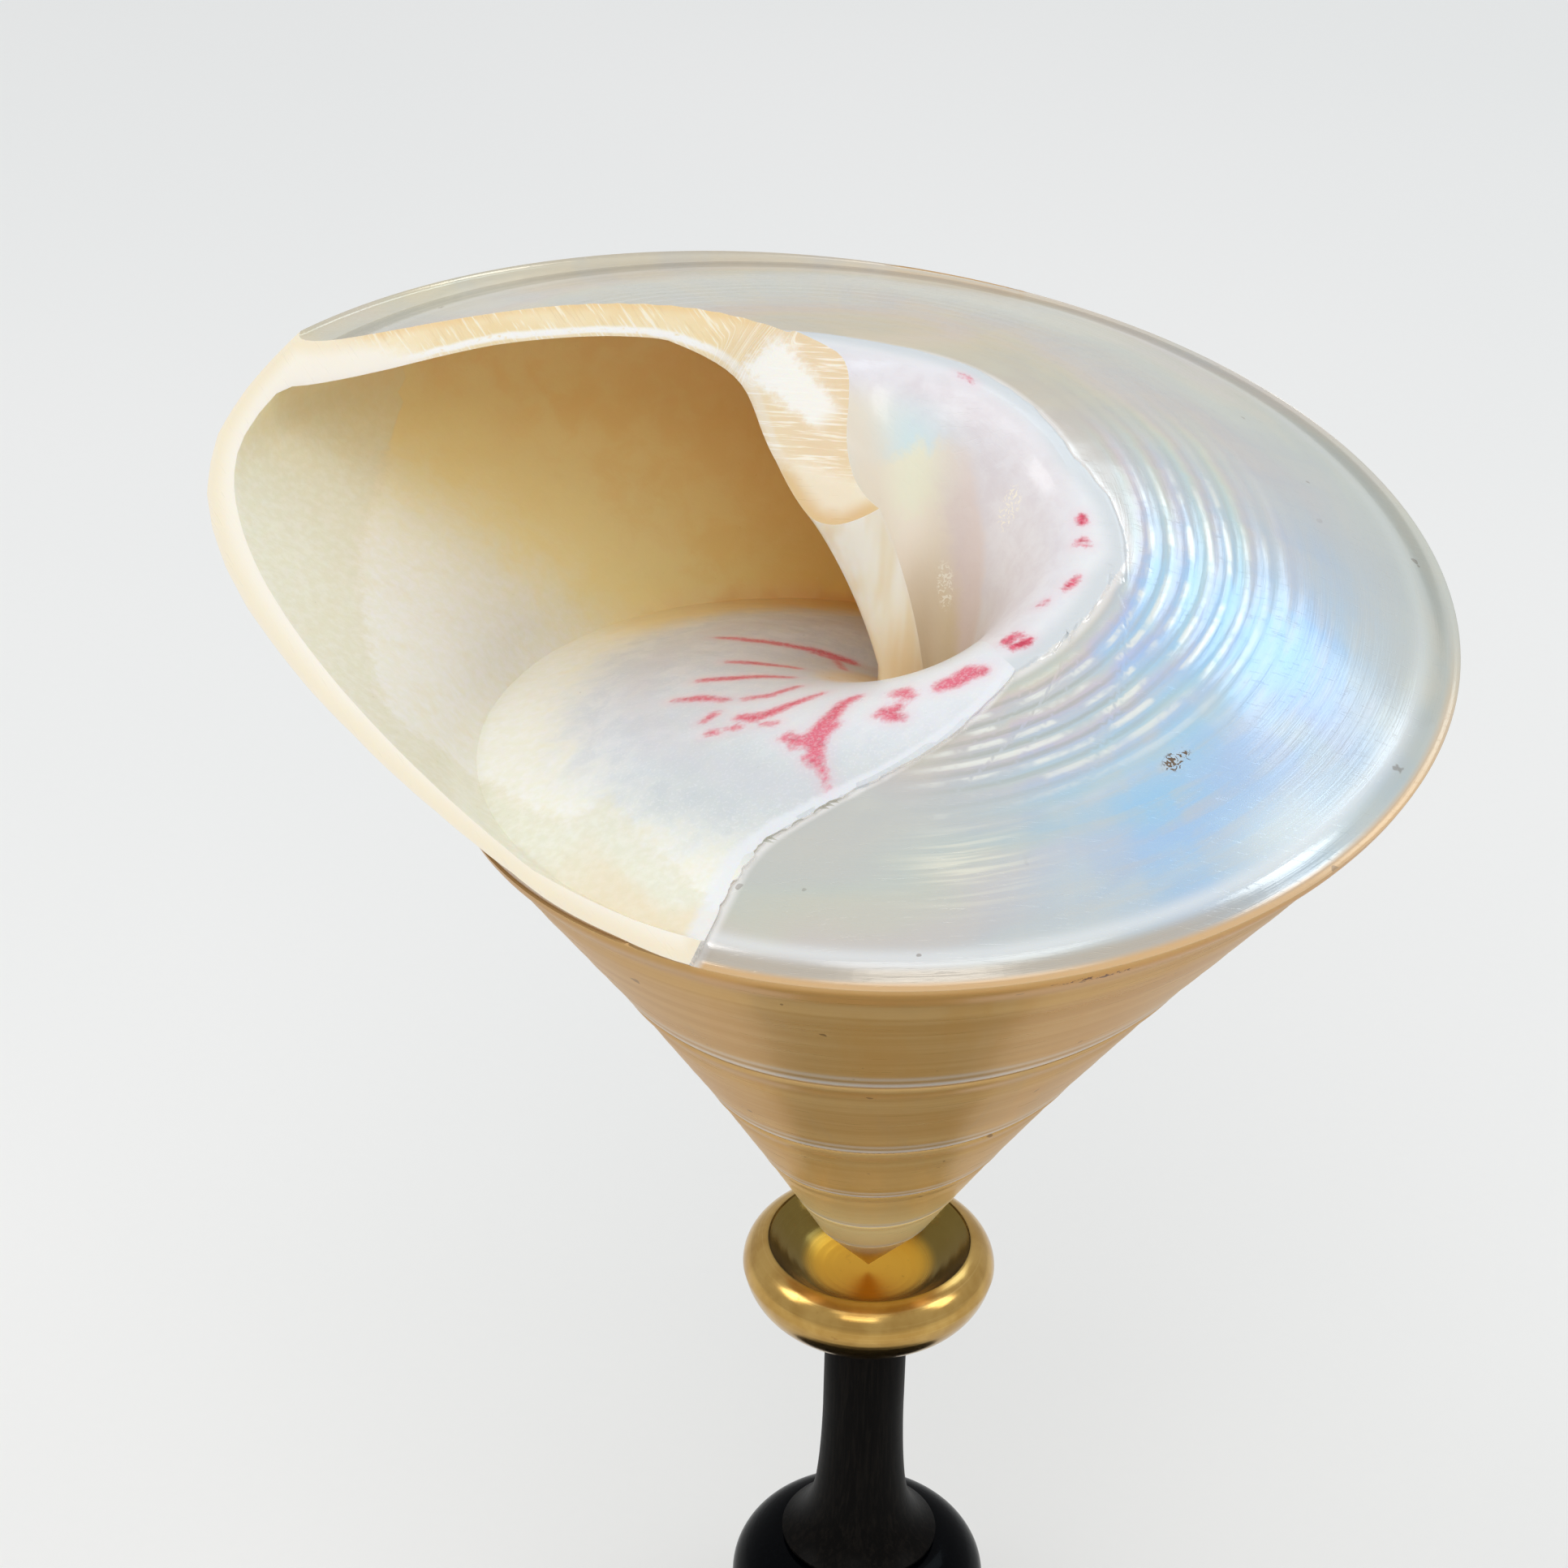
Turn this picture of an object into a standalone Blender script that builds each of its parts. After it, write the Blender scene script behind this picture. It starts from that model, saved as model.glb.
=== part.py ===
"""Polished trochus shell standing on its apex in a brass cup, on a turned black stand.

Five pieces: the shell, the brass cup, the stem, the knop under it and the round foot.
Lengths below are millimetres; meshes are made in metres, +Z up, with the origin at
the centre of the foot's underside on the stand's axis.
"""
import bpy
import bmesh
import math
import numpy as np
from mathutils import Matrix, Vector

MM = 0.001

# ---------------------------------------------------------------- stand
CUP_RIM_Z = 78.0        # height of the cup's inner rim above the table
CUP_RIM_R = 8.8         # inner radius of the cup's rim
CUP_BULGE_R = 5.33      # radius of the centre line of the cup's rounded wall
CUP_BULGE_TUBE = 5.48   # radius of that rounding
CUP_BULGE_DROP = 1.92   # how far its centre lies under the rim
BOWL_DEPTH = 3.4        # depth of the bowl at its centre
STEM_R = 3.55
STEM_TOP_Z = CUP_RIM_Z - 7.6
KNOP_TUBE_CENTRE_R = 6.31
KNOP_TUBE_R = 4.96
KNOP_Z = CUP_RIM_Z - 38.3
FLARE_R = 6.9
FOOT_R = 35.0
FOOT_EDGE_H = 5.0
FOOT_TOP_Z = 9.6
NECK_R = 5.2
GAP = 0.3               # clearance between touching pieces

# ---------------------------------------------------------------- shell
GROWTH = 0.0724    # radius grows by exp(GROWTH * angle)
RISE = 0.842    # height grows by exp(RISE * GROWTH * angle)
LIP_R = 53.54    # radius of the keel at the angle PI
LIP_H = 79.61    # its height over the apex point at the angle PI
APEX_Z = CUP_RIM_Z - 4.96
TIP_Z = CUP_RIM_Z - 3.0
TURNS_BELOW = 4.72      # whorls modelled under the last one
THETA_END = math.radians(248.0)      # last growth line of the keel
WHITE_SHIFT = math.radians(57.0)      # how much further the natural layer reaches near the axis
THETA_CAV = math.radians(-40.0)      # how deep the hollow goes
THETA_CAV_FULL = math.radians(25.0)
QUICKEN_R = 0.0018      # slow change of the growth from whorl to whorl
QUICKEN_Z = -0.0007
LEAN_X = 0.0122         # the shell's axis leans in its cup, in radians towards +X
LEAN_Y = -0.0364        # and towards +Y
LEAN_PIVOT = np.array([0.0, 0.0, CUP_RIM_Z - 3.0])
RIM_OUT = (0.0098, 0.047)     # widest point beyond the keel: young whorl, added at the lip
RIM_UP = (0.0137, -0.014)     # and its height over the keel
RIM_END = (0.9635, 0.0746)    # where the rounded rim meets the base
SIDE_SWELL = 0.0005
SIDE_WAIST = 0.0064
SIDE_BEAD = (0.006, 0.0616)
BELL = (0.0559, 0.7797, 0.1198)
FLARE_FROM = math.radians(69.9)
FLARE_TO = math.radians(168.9)
BAND_OUT = 0.368        # white band round the umbilicus, in parts of the whorl's radius
BAND_IN = 0.31
DOME = (0.0131, 0.2009, 1.073)    # step at the rim, rise and power of the base over the keel
DOME_LIP = (0.016, 0.026)     # how much flatter the base is at the grown lip
DOME_FROM = math.radians(60.0)
DOME_TO = math.radians(125.0)
LAYER = 0.3             # natural layer left standing on the polished base
POLE = np.array([2.82, 3.02])          # foot of the umbilical pit beside the columella
PIT_Z = CUP_RIM_Z + 52.5
PIT_R = 0.8
# the flat sawn through the outer lip and the columella
CUT_POINT = np.array([-14.03, -34.72, 51.88 + CUP_RIM_Z])
CUT_NORMAL = np.array([-0.204, -0.472, 0.857])
EASE_POINT = (-23.7, -28.3)          # line past which the sawn face eases up, and the way across it
EASE_ACROSS = (0.366, -0.931)
EASE_SLOPE = 0.21

SEG = 36                # steps to a turn
N_SIDE = 6
N_RIM = 3
N_DOME = 6
N_FUNNEL = 6


def smooth(a, b, x):
    t = min(max((x - a) / (b - a), 0.0), 1.0)
    return t * t * (3.0 - 2.0 * t)


def keel_r(th):
    a = th - math.pi
    return LIP_R * math.exp(GROWTH * a + QUICKEN_R * (a / math.pi) ** 2)


def keel_z(th):
    a = th - math.pi
    return APEX_Z + LIP_H * math.exp(RISE * GROWTH * a + QUICKEN_Z * (a / math.pi) ** 2)


def flare(th):
    """0 on the younger whorls, 1 where the grown lip bells out."""
    return smooth(FLARE_FROM, FLARE_TO, th)


def rim_point(th):
    """Widest point of the whorl, beside the keel line."""
    f = flare(th)
    r, z = keel_r(th), keel_z(th)
    return r * (1.0 + RIM_OUT[0] + RIM_OUT[1] * f), z + r * (RIM_UP[0] + RIM_UP[1] * f)


def dome(rho, th):
    """Height of the base over the keel, in parts of the whorl's radius; the grown lip is flatter."""
    f = smooth(DOME_FROM, DOME_TO, th)
    x = min(max(1.0 - rho, 0.0) / (1.0 - BAND_IN), 1.0) ** DOME[2]
    return DOME[0] - DOME_LIP[0] * f + (DOME[1] - DOME_LIP[1] * f) * math.sin(0.5 * math.pi * x)


def side_point(th, u, plain=False):
    """Outer side of the whorl, from the suture (u = 0) to its widest point (u = 1)."""
    r0, z0 = rim_point(th - 2.0 * math.pi)
    r1, z1 = rim_point(th)
    f, r = flare(th), keel_r(th)
    swell = SIDE_SWELL * math.sin(math.pi * u)
    if not plain:
        swell -= SIDE_WAIST * math.exp(-((u - 0.82) / 0.06) ** 2)
        swell += SIDE_BEAD[0] * math.exp(-((u - 0.95) / SIDE_BEAD[1]) ** 2) * (1.0 - math.exp((u - 1.0) / 0.02))
    bell = BELL[2] * math.sin(math.pi * u) - BELL[0] * math.sin(2.0 * math.pi * u ** BELL[1])
    last = smooth(THETA_END - 0.2, THETA_END, th) if not plain else 0.0
    bell += (0.03 * math.sin(math.pi * u) - bell) * last
    return r0 + (r1 - r0) * u + r * ((1.0 - f) * swell + f * bell), z0 + (z1 - z0) * u


def rim_curve(th, t):
    """Rounded rim from the widest point (t = 0) onto the base (t = 1)."""
    r, z = keel_r(th), keel_z(th)
    rc = rim_end(th)
    x0, y0 = rim_point(th)
    x2, y2 = rc * r, z + r * dome(rc, th)
    slope = (dome(rc, th) - dome(rc + 0.01, th)) / 0.01
    x1, y1 = x0, y2 - slope * (x0 - x2)
    a, b, c = (1.0 - t) ** 2, 2.0 * t * (1.0 - t), t * t
    return a * x0 + b * x1 + c * x2, a * y0 + b * y1 + c * y2


def rim_end(th):
    return RIM_END[0] - RIM_END[1] * flare(th)


def funnel_power(th):
    return 0.95 - 0.23 * smooth(math.radians(60.0), math.radians(130.0), th)


def pole_distance(th):
    b = BAND_IN * keel_r(th)
    return math.hypot(b * math.cos(th) - POLE[0], b * math.sin(th) - POLE[1])


def funnel_height(th, q):
    """Height of the umbilical funnel; q is 1 at the band and 0 at the pit."""
    top = keel_z(th) + keel_r(th) * dome(BAND_IN, th)
    d = pole_distance(th)
    q0 = PIT_R / d
    s = max((q - q0) / (1.0 - q0), 0.0)
    return PIT_Z + (top - PIT_Z) * math.sin(0.5 * math.pi * s ** funnel_power(th))


def section(th, n_side, n_rim, n_dome, n_funnel):
    """Outer profile at one growth line as (h, z): h is the distance from the axis,
    and inside the band it goes on along the straight line to the pit's pole."""
    pts = [side_point(th, i / n_side, True) for i in range(n_side)]
    pts += [rim_curve(th, i / n_rim) for i in range(n_rim)]
    r, z, rc = keel_r(th), keel_z(th), rim_end(th)
    for i in range(n_dome):
        rho = rc + (BAND_IN - rc) * i / n_dome
        pts.append((rho * r, z + r * dome(rho, th)))
    d = pole_distance(th)
    for i in range(n_funnel + 1):
        q = 1.0 + (PIT_R / d - 1.0) * (i / n_funnel) ** 0.8
        pts.append((BAND_IN * r - (1.0 - q) * d, funnel_height(th, q)))
    return pts


def to_space(th, h, z):
    """Place a section point: radial outside the band, towards the pole inside it."""
    b = BAND_IN * keel_r(th)
    c, s = math.cos(th), math.sin(th)
    if h >= b:
        return (h * c, h * s, z)
    d = pole_distance(th)
    k = (b - h) / d
    return (b * c + k * (POLE[0] - b * c), b * s + k * (POLE[1] - b * s), z)


def lean(points):
    """Tip the shell about its apex; the formulas above are for an upright axis."""
    cx, sx, cy, sy = math.cos(LEAN_X), math.sin(LEAN_X), math.cos(LEAN_Y), math.sin(LEAN_Y)
    about_y = np.array([[cx, 0.0, sx], [0.0, 1.0, 0.0], [-sx, 0.0, cx]])
    about_x = np.array([[1.0, 0.0, 0.0], [0.0, cy, sy], [0.0, -sy, cy]])
    return (np.array(points) - LEAN_PIVOT) @ (about_x @ about_y).T + LEAN_PIVOT


def shift_at(rho):
    x = min(max((0.80 - rho) / (0.80 - BAND_OUT), 0.0), 1.0)
    return WHITE_SHIFT * x * x


def add_object(name, verts, faces, collection):
    mesh = bpy.data.meshes.new(name)
    bm = bmesh.new()
    bv = [bm.verts.new((v[0] * MM, v[1] * MM, v[2] * MM)) for v in verts]
    for f in faces:
        bm.faces.new([bv[i] for i in f])
    bmesh.ops.recalc_face_normals(bm, faces=bm.faces[:])
    bm.to_mesh(mesh)
    bm.free()
    obj = bpy.data.objects.new(name, mesh)
    collection.objects.link(obj)
    return obj


def build_body(collection):
    """The shell with its last whorl still whole and full: one helical ribbon for all
    sides, one strip for the base and the umbilical funnel, and a wall at the end."""
    first = -int(round((TURNS_BELOW + 1.0) * SEG))
    step = 2.0 * math.pi / SEG
    thetas = [THETA_END + i * step for i in range(first, 1)]
    n = len(thetas)
    verts, faces = [], []
    rows = []
    for i, th in enumerate(thetas):
        row = []
        for j in range(N_SIDE + 1):
            if j == 0 and i >= SEG:
                row.append(rows[i - SEG][N_SIDE])
                continue
            h, z = side_point(th, j / N_SIDE)
            row.append(len(verts))
            verts.append((h * math.cos(th), h * math.sin(th), z))
        rows.append(row)
    for i in range(n - 1):
        for j in range(N_SIDE):
            faces.append((rows[i][j], rows[i + 1][j], rows[i + 1][j + 1], rows[i][j + 1]))
    # closed tip
    tip = len(verts)
    verts.append((0.0, 0.0, TIP_Z))
    loop = [rows[0][j] for j in range(N_SIDE + 1)]
    loop += [rows[i][0] for i in range(SEG - 1, 0, -1)]
    for a, b in zip(loop, loop[1:] + loop[:1]):
        faces.append((a, b, tip))
    # base and funnel
    top = []
    for i in range(n - 1 - SEG, n):
        th0 = thetas[i]
        line = [rows[i][N_SIDE]]
        for k in range(1, N_RIM + N_DOME + N_FUNNEL + 1):
            if k < N_RIM:
                th = th0
                h, z = rim_curve(th, k / N_RIM)
            else:
                rc = rim_end(th0)
                if k <= N_RIM + N_DOME:
                    rho = rc + (BAND_IN - rc) * (k - N_RIM) / N_DOME
                    th = th0 + shift_at(rho)
                    r = keel_r(th)
                    h, z = rho * r, keel_z(th) + r * dome(rho, th)
                else:
                    th = th0 + WHITE_SHIFT
                    d = pole_distance(th)
                    t = (k - N_RIM - N_DOME) / N_FUNNEL
                    q = 1.0 + (PIT_R / d - 1.0) * t ** 0.8
                    h, z = BAND_IN * keel_r(th) - (1.0 - q) * d, funnel_height(th, q)
            if k == N_RIM + N_DOME + N_FUNNEL:
                if i == n - 1:
                    line.append(top[0][-1])
                    continue
                p = (POLE[0] + PIT_R * math.cos(th), POLE[1] + PIT_R * math.sin(th), PIT_Z)
            else:
                p = to_space(th, h, z)
            line.append(len(verts))
            verts.append(p)
        top.append(line)
    for a, b in zip(top[:-1], top[1:]):
        for k in range(len(a) - 1):
            faces.append((a[k], b[k], a[k + 1]))
            faces.append((b[k], b[k + 1], a[k + 1]))
    faces.append(tuple(line[-1] for line in top[:-1]))
    # wall at the last growth line
    low, high = top[0], rows[-1][:-1] + top[-1]
    i = j = 0
    while i < len(low) - 1 or j < len(high) - 1:
        fi, fj = i / (len(low) - 1), max(j - N_SIDE, 0) / (len(high) - 1 - N_SIDE)
        if j < len(high) - 1 and (fj <= fi or i == len(low) - 1):
            tri = (low[i], high[j], high[j + 1])
            j += 1
        else:
            tri = (low[i], high[j], low[i + 1])
            i += 1
        if len(set(tri)) == 3:
            faces.append(tri)
    return add_object("shell", lean(verts), faces, collection)


def wall_thickness(part):
    """Wall thickness along the section; part runs 0 suture, 1 rim, 2 band, 3 pit."""
    marks = ((0.0, 1.0), (0.45, 1.7), (1.0, 2.7), (1.35, 2.2), (1.70, 2.3), (1.92, 3.6), (2.08, 5.6), (2.35, 5.6), (2.65, 4.2), (3.0, 3.0))
    for (a, ta), (b, tb) in zip(marks[:-1], marks[1:]):
        if part <= b:
            return ta + (tb - ta) * (part - a) / (b - a)
    return marks[-1][1]


def cross_point(p, q, r, t):
    """Crossing of the segments pq and rt, or None."""
    d = (q[0] - p[0]) * (t[1] - r[1]) - (q[1] - p[1]) * (t[0] - r[0])
    if abs(d) < 1e-12:
        return None
    u = ((r[0] - p[0]) * (t[1] - r[1]) - (r[1] - p[1]) * (t[0] - r[0])) / d
    v = ((r[0] - p[0]) * (q[1] - p[1]) - (r[1] - p[1]) * (q[0] - p[0])) / d
    if 0.0 <= u <= 1.0 and 0.0 <= v <= 1.0:
        return (p[0] + u * (q[0] - p[0]), p[1] + u * (q[1] - p[1]))
    return None


def without_loops(line):
    """Drop the small loops that an inward offset makes at a tight corner."""
    line = [tuple(p) for p in line]
    i = 0
    while i < len(line) - 3:
        for j in range(min(len(line) - 2, i + 40), i + 1, -1):
            c = cross_point(line[i], line[i + 1], line[j], line[j + 1])
            if c is not None:
                line = line[:i + 1] + [c] + line[j + 1:]
                break
        i += 1
    return np.array(line)


def offset_section(th):
    """The section moved inwards by the wall's thickness: (side, base) from the keel."""
    ns, nr, nd, nf = 24, 12, 24, 24
    pts = np.array(section(th, ns, nr, nd, nf))
    parts = [i / ns for i in range(ns)] + [1.0 + 0.15 * i / nr for i in range(nr)]
    parts += [1.15 + 0.85 * i / nd for i in range(nd)] + [2.0 + i / nf for i in range(nf + 1)]
    tang = np.gradient(pts, axis=0)
    tang /= np.linalg.norm(tang, axis=1)[:, None]
    normal = np.stack([-tang[:, 1], tang[:, 0]], axis=1)
    thick = np.array([wall_thickness(p) for p in parts])
    out = without_loops(pts + normal * thick[:, None])
    top = int(np.argmax(out[:, 0]))
    return out[:top + 1], out[top:]


def resample(line, count):
    seg = np.linalg.norm(np.diff(line, axis=0), axis=1)
    s = np.concatenate([[0.0], np.cumsum(seg)])
    t = np.linspace(0.0, s[-1], count)
    return np.stack([np.interp(t, s, line[:, k]) for k in range(line.shape[1])], axis=1)


def floor_point(th, x):
    """Floor of the hollow, the base of the whorl before; x is 0 outside, 1 at the pole."""
    t0 = th - 2.0 * math.pi
    r, z = keel_r(t0), keel_z(t0)
    if x < 0.6:
        rho = 0.955 + (BAND_IN - 0.955) * x / 0.6
        return to_space(t0, rho * r, z + r * dome(rho, t0) + LAYER)
    q = 1.0 - (x - 0.6) / 0.4
    d = pole_distance(t0)
    return to_space(t0, BAND_IN * r - (1.0 - q) * d, funnel_height(t0, q) + LAYER)


def hollow_ring(th, n_floor, n_leg, n_ceil, n_side):
    """One closed section of the hollow: floor, columella side, ceiling, outer side."""
    t0 = th - 2.0 * math.pi
    side, base = offset_section(th)
    band = BAND_IN * keel_r(th)
    h_pole = band - pole_distance(th)
    corner = band * 1.03
    ceil = base[base[:, 0] > corner]
    leg = base[base[:, 0] <= corner].copy()
    # the columella's edge: its inner wall rounds off and gives out
    x = min(max((th - math.radians(188.0)) / math.radians(30.0), 0.0), 1.0)
    fade = 1.0 - math.sqrt(max(1.0 - x * x, 0.0))
    d = leg[:, 0] - h_pole
    w = np.clip((ceil[-1][1] - leg[:, 1]) / 14.0, 0.0, 1.0) ** 0.4
    past = smooth(math.radians(202.0), math.radians(220.0), th)
    w = w + (1.0 - w) * past
    d = d * (1.0 - fade * w) + (PIT_R * 0.5) * fade * w
    leg[:, 0] = h_pole + d
    leg[:, 1] += 5.0 * past * np.linspace(1.0, 0.0, len(leg))
    # the leg ends where it meets the floor
    d0 = pole_distance(t0)
    keep = len(leg)
    for i in range(len(leg)):
        zf = funnel_height(t0, min(max(d[i], 0.05) / d0, 1.0)) + LAYER
        if leg[i][1] < zf + 0.6 or d[i] < 0.3:
            keep = i
            break
    leg = leg[:max(keep, 2)]
    d_foot = max(leg[-1][0] - h_pole - 0.05, 0.3)
    x_foot = 0.6 + 0.4 * (1.0 - min(d_foot / d0, 1.0))
    leg = resample(np.vstack([ceil[-1:], leg]), n_leg + 1)[1:]
    ceil = resample(ceil, n_ceil)
    z_out = floor_point(th, 0.0)[2] + 0.35
    side = resample(side[side[:, 1] > z_out], n_side)
    ring = [floor_point(th, x_foot * k / n_floor) for k in range(n_floor + 1)]
    ring += [to_space(th, *p) for p in leg[::-1]]
    ring += [to_space(th, *p) for p in ceil[::-1]]
    ring += [to_space(th, *p) for p in side[-2::-1]]
    ring = np.array(ring)
    grow = smooth(THETA_CAV - 0.25, THETA_CAV_FULL, th)
    if grow < 1.0:
        mid = ring.mean(axis=0)
        ring = mid + (ring - mid) * math.sqrt(grow)
    return ring


def build_hollow(collection):
    """The inside of the last whorl, as a cutter."""
    end = THETA_END + WHITE_SHIFT + math.radians(16.0)
    count = int(math.ceil((end - THETA_CAV) / math.radians(9.0)))
    rings = []
    for i in range(count + 1):
        th = THETA_CAV + (end - THETA_CAV) * i / count
        rings.append(hollow_ring(th, 8, 7, 10, 9))
    verts, faces = [], []
    m = len(rings[0])
    for ring in rings:
        verts += [tuple(p) for p in ring]
    for i in range(count):
        for k in range(m):
            a, b = i * m + k, i * m + (k + 1) % m
            faces.append((a, b, b + m, a + m))
    for base in (0, count * m):
        faces.append(tuple(base + k for k in range(m)))
    return add_object("hollow_cutter", lean(verts), faces, collection)


def saw_height(x, y):
    """Height of the sawn flat; towards the front it eases up to pass over the base."""
    n, p = CUT_NORMAL, CUT_POINT
    z = p[2] - (n[0] * (x - p[0]) + n[1] * (y - p[1])) / n[2]
    d = (x - EASE_POINT[0]) * EASE_ACROSS[0] + (y - EASE_POINT[1]) * EASE_ACROSS[1]
    return z + EASE_SLOPE * max(d, 0.0)


def build_saw(collection):
    """A block whose underside is the sawn face: two flats that meet at a shallow ridge."""
    size = 150.0
    ax, ay = EASE_ACROSS
    verts, faces = [], []
    for top in (False, True):
        for along in (-size, size):
            for across in (-size, 0.0, size):
                x = EASE_POINT[0] - ay * along + ax * across
                y = EASE_POINT[1] + ax * along + ay * across
                verts.append((x, y, CUP_RIM_Z + 300.0 if top else saw_height(x, y)))
    for k in (0, 1):
        faces.append((k, k + 1, k + 4, k + 3))
        faces.append((k + 6, k + 7, k + 10, k + 9))
    faces += [(0, 1, 7, 6), (1, 2, 8, 7), (3, 4, 10, 9), (4, 5, 11, 10), (0, 3, 9, 6), (2, 5, 11, 8)]
    return add_object("saw_cutter", verts, faces, collection)


def turned(name, profile, collection, steps=48):
    """Turned piece from an (r, z) profile that runs down its outer side."""
    mesh = bpy.data.meshes.new(name)
    bm = bmesh.new()
    vs = [bm.verts.new((r * MM, 0.0, z * MM)) for r, z in profile]
    for a, b in zip(vs[:-1], vs[1:]):
        bm.edges.new((a, b))
    bm.to_mesh(mesh)
    bm.free()
    obj = bpy.data.objects.new(name, mesh)
    collection.objects.link(obj)
    mod = obj.modifiers.new("turn", 'SCREW')
    mod.axis = 'Z'
    mod.angle = 2.0 * math.pi
    mod.steps = steps
    mod.render_steps = steps
    mod.use_merge_vertices = True
    mod.merge_threshold = 0.00001
    mod.use_smooth_shade = True
    return obj


def arc(cr, cz, radius, a0, a1, count):
    return [(cr + radius * math.cos(math.radians(a0 + (a1 - a0) * i / count)),
             cz + radius * math.sin(math.radians(a0 + (a1 - a0) * i / count))) for i in range(count + 1)]


def cup_profile():
    cz = CUP_RIM_Z - CUP_BULGE_DROP
    pts = [(0.0, CUP_RIM_Z - BOWL_DEPTH)]
    for i in range(1, 7):
        x = i / 7.0
        pts.append((CUP_RIM_R * x, CUP_RIM_Z - BOWL_DEPTH * (1.0 - x ** 3.2)))
    pts += [(CUP_RIM_R - 0.12, CUP_RIM_Z - 0.12), (CUP_RIM_R + 0.15, CUP_RIM_Z)]
    pts += [(CUP_RIM_R + 0.75, CUP_RIM_Z - 0.05)]
    pts += arc(CUP_BULGE_R, cz, CUP_BULGE_TUBE, 14.0, -84.0, 8)
    pts += [(STEM_R + 0.9, CUP_RIM_Z - 7.3), (0.0, CUP_RIM_Z - 7.3)]
    return pts


def stem_profile():
    z1 = KNOP_Z + KNOP_TUBE_R + GAP
    pts = [(0.0, STEM_TOP_Z), (STEM_R - 0.15, STEM_TOP_Z), (STEM_R, STEM_TOP_Z - 0.2), (STEM_R, CUP_RIM_Z - 18.0)]
    for i in range(1, 11):
        x = i / 10.0
        z = CUP_RIM_Z - 18.0 + (z1 + 0.35 - (CUP_RIM_Z - 18.0)) * x
        pts.append((STEM_R + (FLARE_R - STEM_R) * (0.30 * x ** 2.0 + 0.70 * x ** 8.0), z))
    pts += [(FLARE_R - 0.05, z1), (0.0, z1)]
    return pts


def knop_profile():
    pts = [(0.0, KNOP_Z + KNOP_TUBE_R)]
    pts += arc(KNOP_TUBE_CENTRE_R, KNOP_Z, KNOP_TUBE_R, 90.0, -90.0, 12)
    pts += [(0.0, KNOP_Z - KNOP_TUBE_R)]
    return pts


def foot_profile():
    top = KNOP_Z - KNOP_TUBE_R - GAP
    pts = [(0.0, top), (NECK_R + 1.3, top), (NECK_R + 1.6, top - 0.5), (NECK_R + 1.3, top - 1.1), (NECK_R + 0.2, top - 1.7)]
    r_end = FOOT_R - 4.0
    for i in range(1, 10):
        x = i / 9.0
        a = math.radians(90.0 * x)
        pts.append((r_end - (r_end - NECK_R) * math.cos(a) ** 0.62 * (1.0 if i < 9 else 0.0) if i < 9 else r_end,
                    top - 1.7 + (FOOT_TOP_Z - top + 1.7) * math.sin(a) ** 0.62))
    pts += arc(FOOT_R - 3.0, FOOT_EDGE_H + 1.0, 3.0, 78.0, -20.0, 6)
    pts += [(FOOT_R - 0.9, 0.6), (FOOT_R - 1.6, 0.0), (0.0, 0.0)]
    return pts


def material(name, colour, rough, metal):
    mat = bpy.data.materials.new(name)
    mat.use_nodes = True
    shader = mat.node_tree.nodes["Principled BSDF"]
    shader.inputs["Base Color"].default_value = (*colour, 1.0)
    shader.inputs["Roughness"].default_value = rough
    shader.inputs["Metallic"].default_value = metal
    return mat


def clear_scene():
    for obj in list(bpy.data.objects):
        bpy.data.objects.remove(obj, do_unlink=True)


def main():
    clear_scene()
    parts = bpy.data.collections.new("trochus_shell_on_stand")
    cutters = bpy.data.collections.new("cutters")
    bpy.context.scene.collection.children.link(parts)
    bpy.context.scene.collection.children.link(cutters)

    shell = build_body(parts)
    hollow = build_hollow(cutters)
    saw = build_saw(cutters)
    for cutter in (hollow, saw):
        cutter.hide_render = True
        cutter.display_type = 'WIRE'
        mod = shell.modifiers.new(cutter.name, 'BOOLEAN')
        mod.operation = 'DIFFERENCE'
        mod.solver = 'EXACT'
        mod.object = cutter

    cup = turned("brass_cup", cup_profile(), parts, 40)
    stem = turned("stem", stem_profile(), parts, 28)
    knop = turned("knop", knop_profile(), parts, 36)
    foot = turned("foot", foot_profile(), parts, 44)

    finish = {
        shell: material("nacre", (0.78, 0.72, 0.60), 0.18, 0.0),
        cup: material("brass", (0.72, 0.48, 0.16), 0.28, 1.0),
        stem: material("satin_black", (0.020, 0.017, 0.015), 0.45, 0.0),
        knop: material("gloss_black", (0.004, 0.006, 0.008), 0.10, 0.0),
        foot: material("gloss_black_foot", (0.004, 0.006, 0.008), 0.12, 0.0),
    }
    for obj, mat in finish.items():
        obj.data.materials.append(mat)
    shell.data.shade_smooth()
    shell.data.set_sharp_from_angle(angle=math.radians(35.0))


main()
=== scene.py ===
"""Looks of the polished trochus shell on its turned stand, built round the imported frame.

The shell is grown again here with the same formulas as its solid, in fine steps and with
its real relief: the natural white layer standing proud of the polished base, the fine
spiral grooves, the double suture lines, the saw marks and the rounded columella.
Lengths in the shell's formulas are millimetres.
"""

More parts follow.
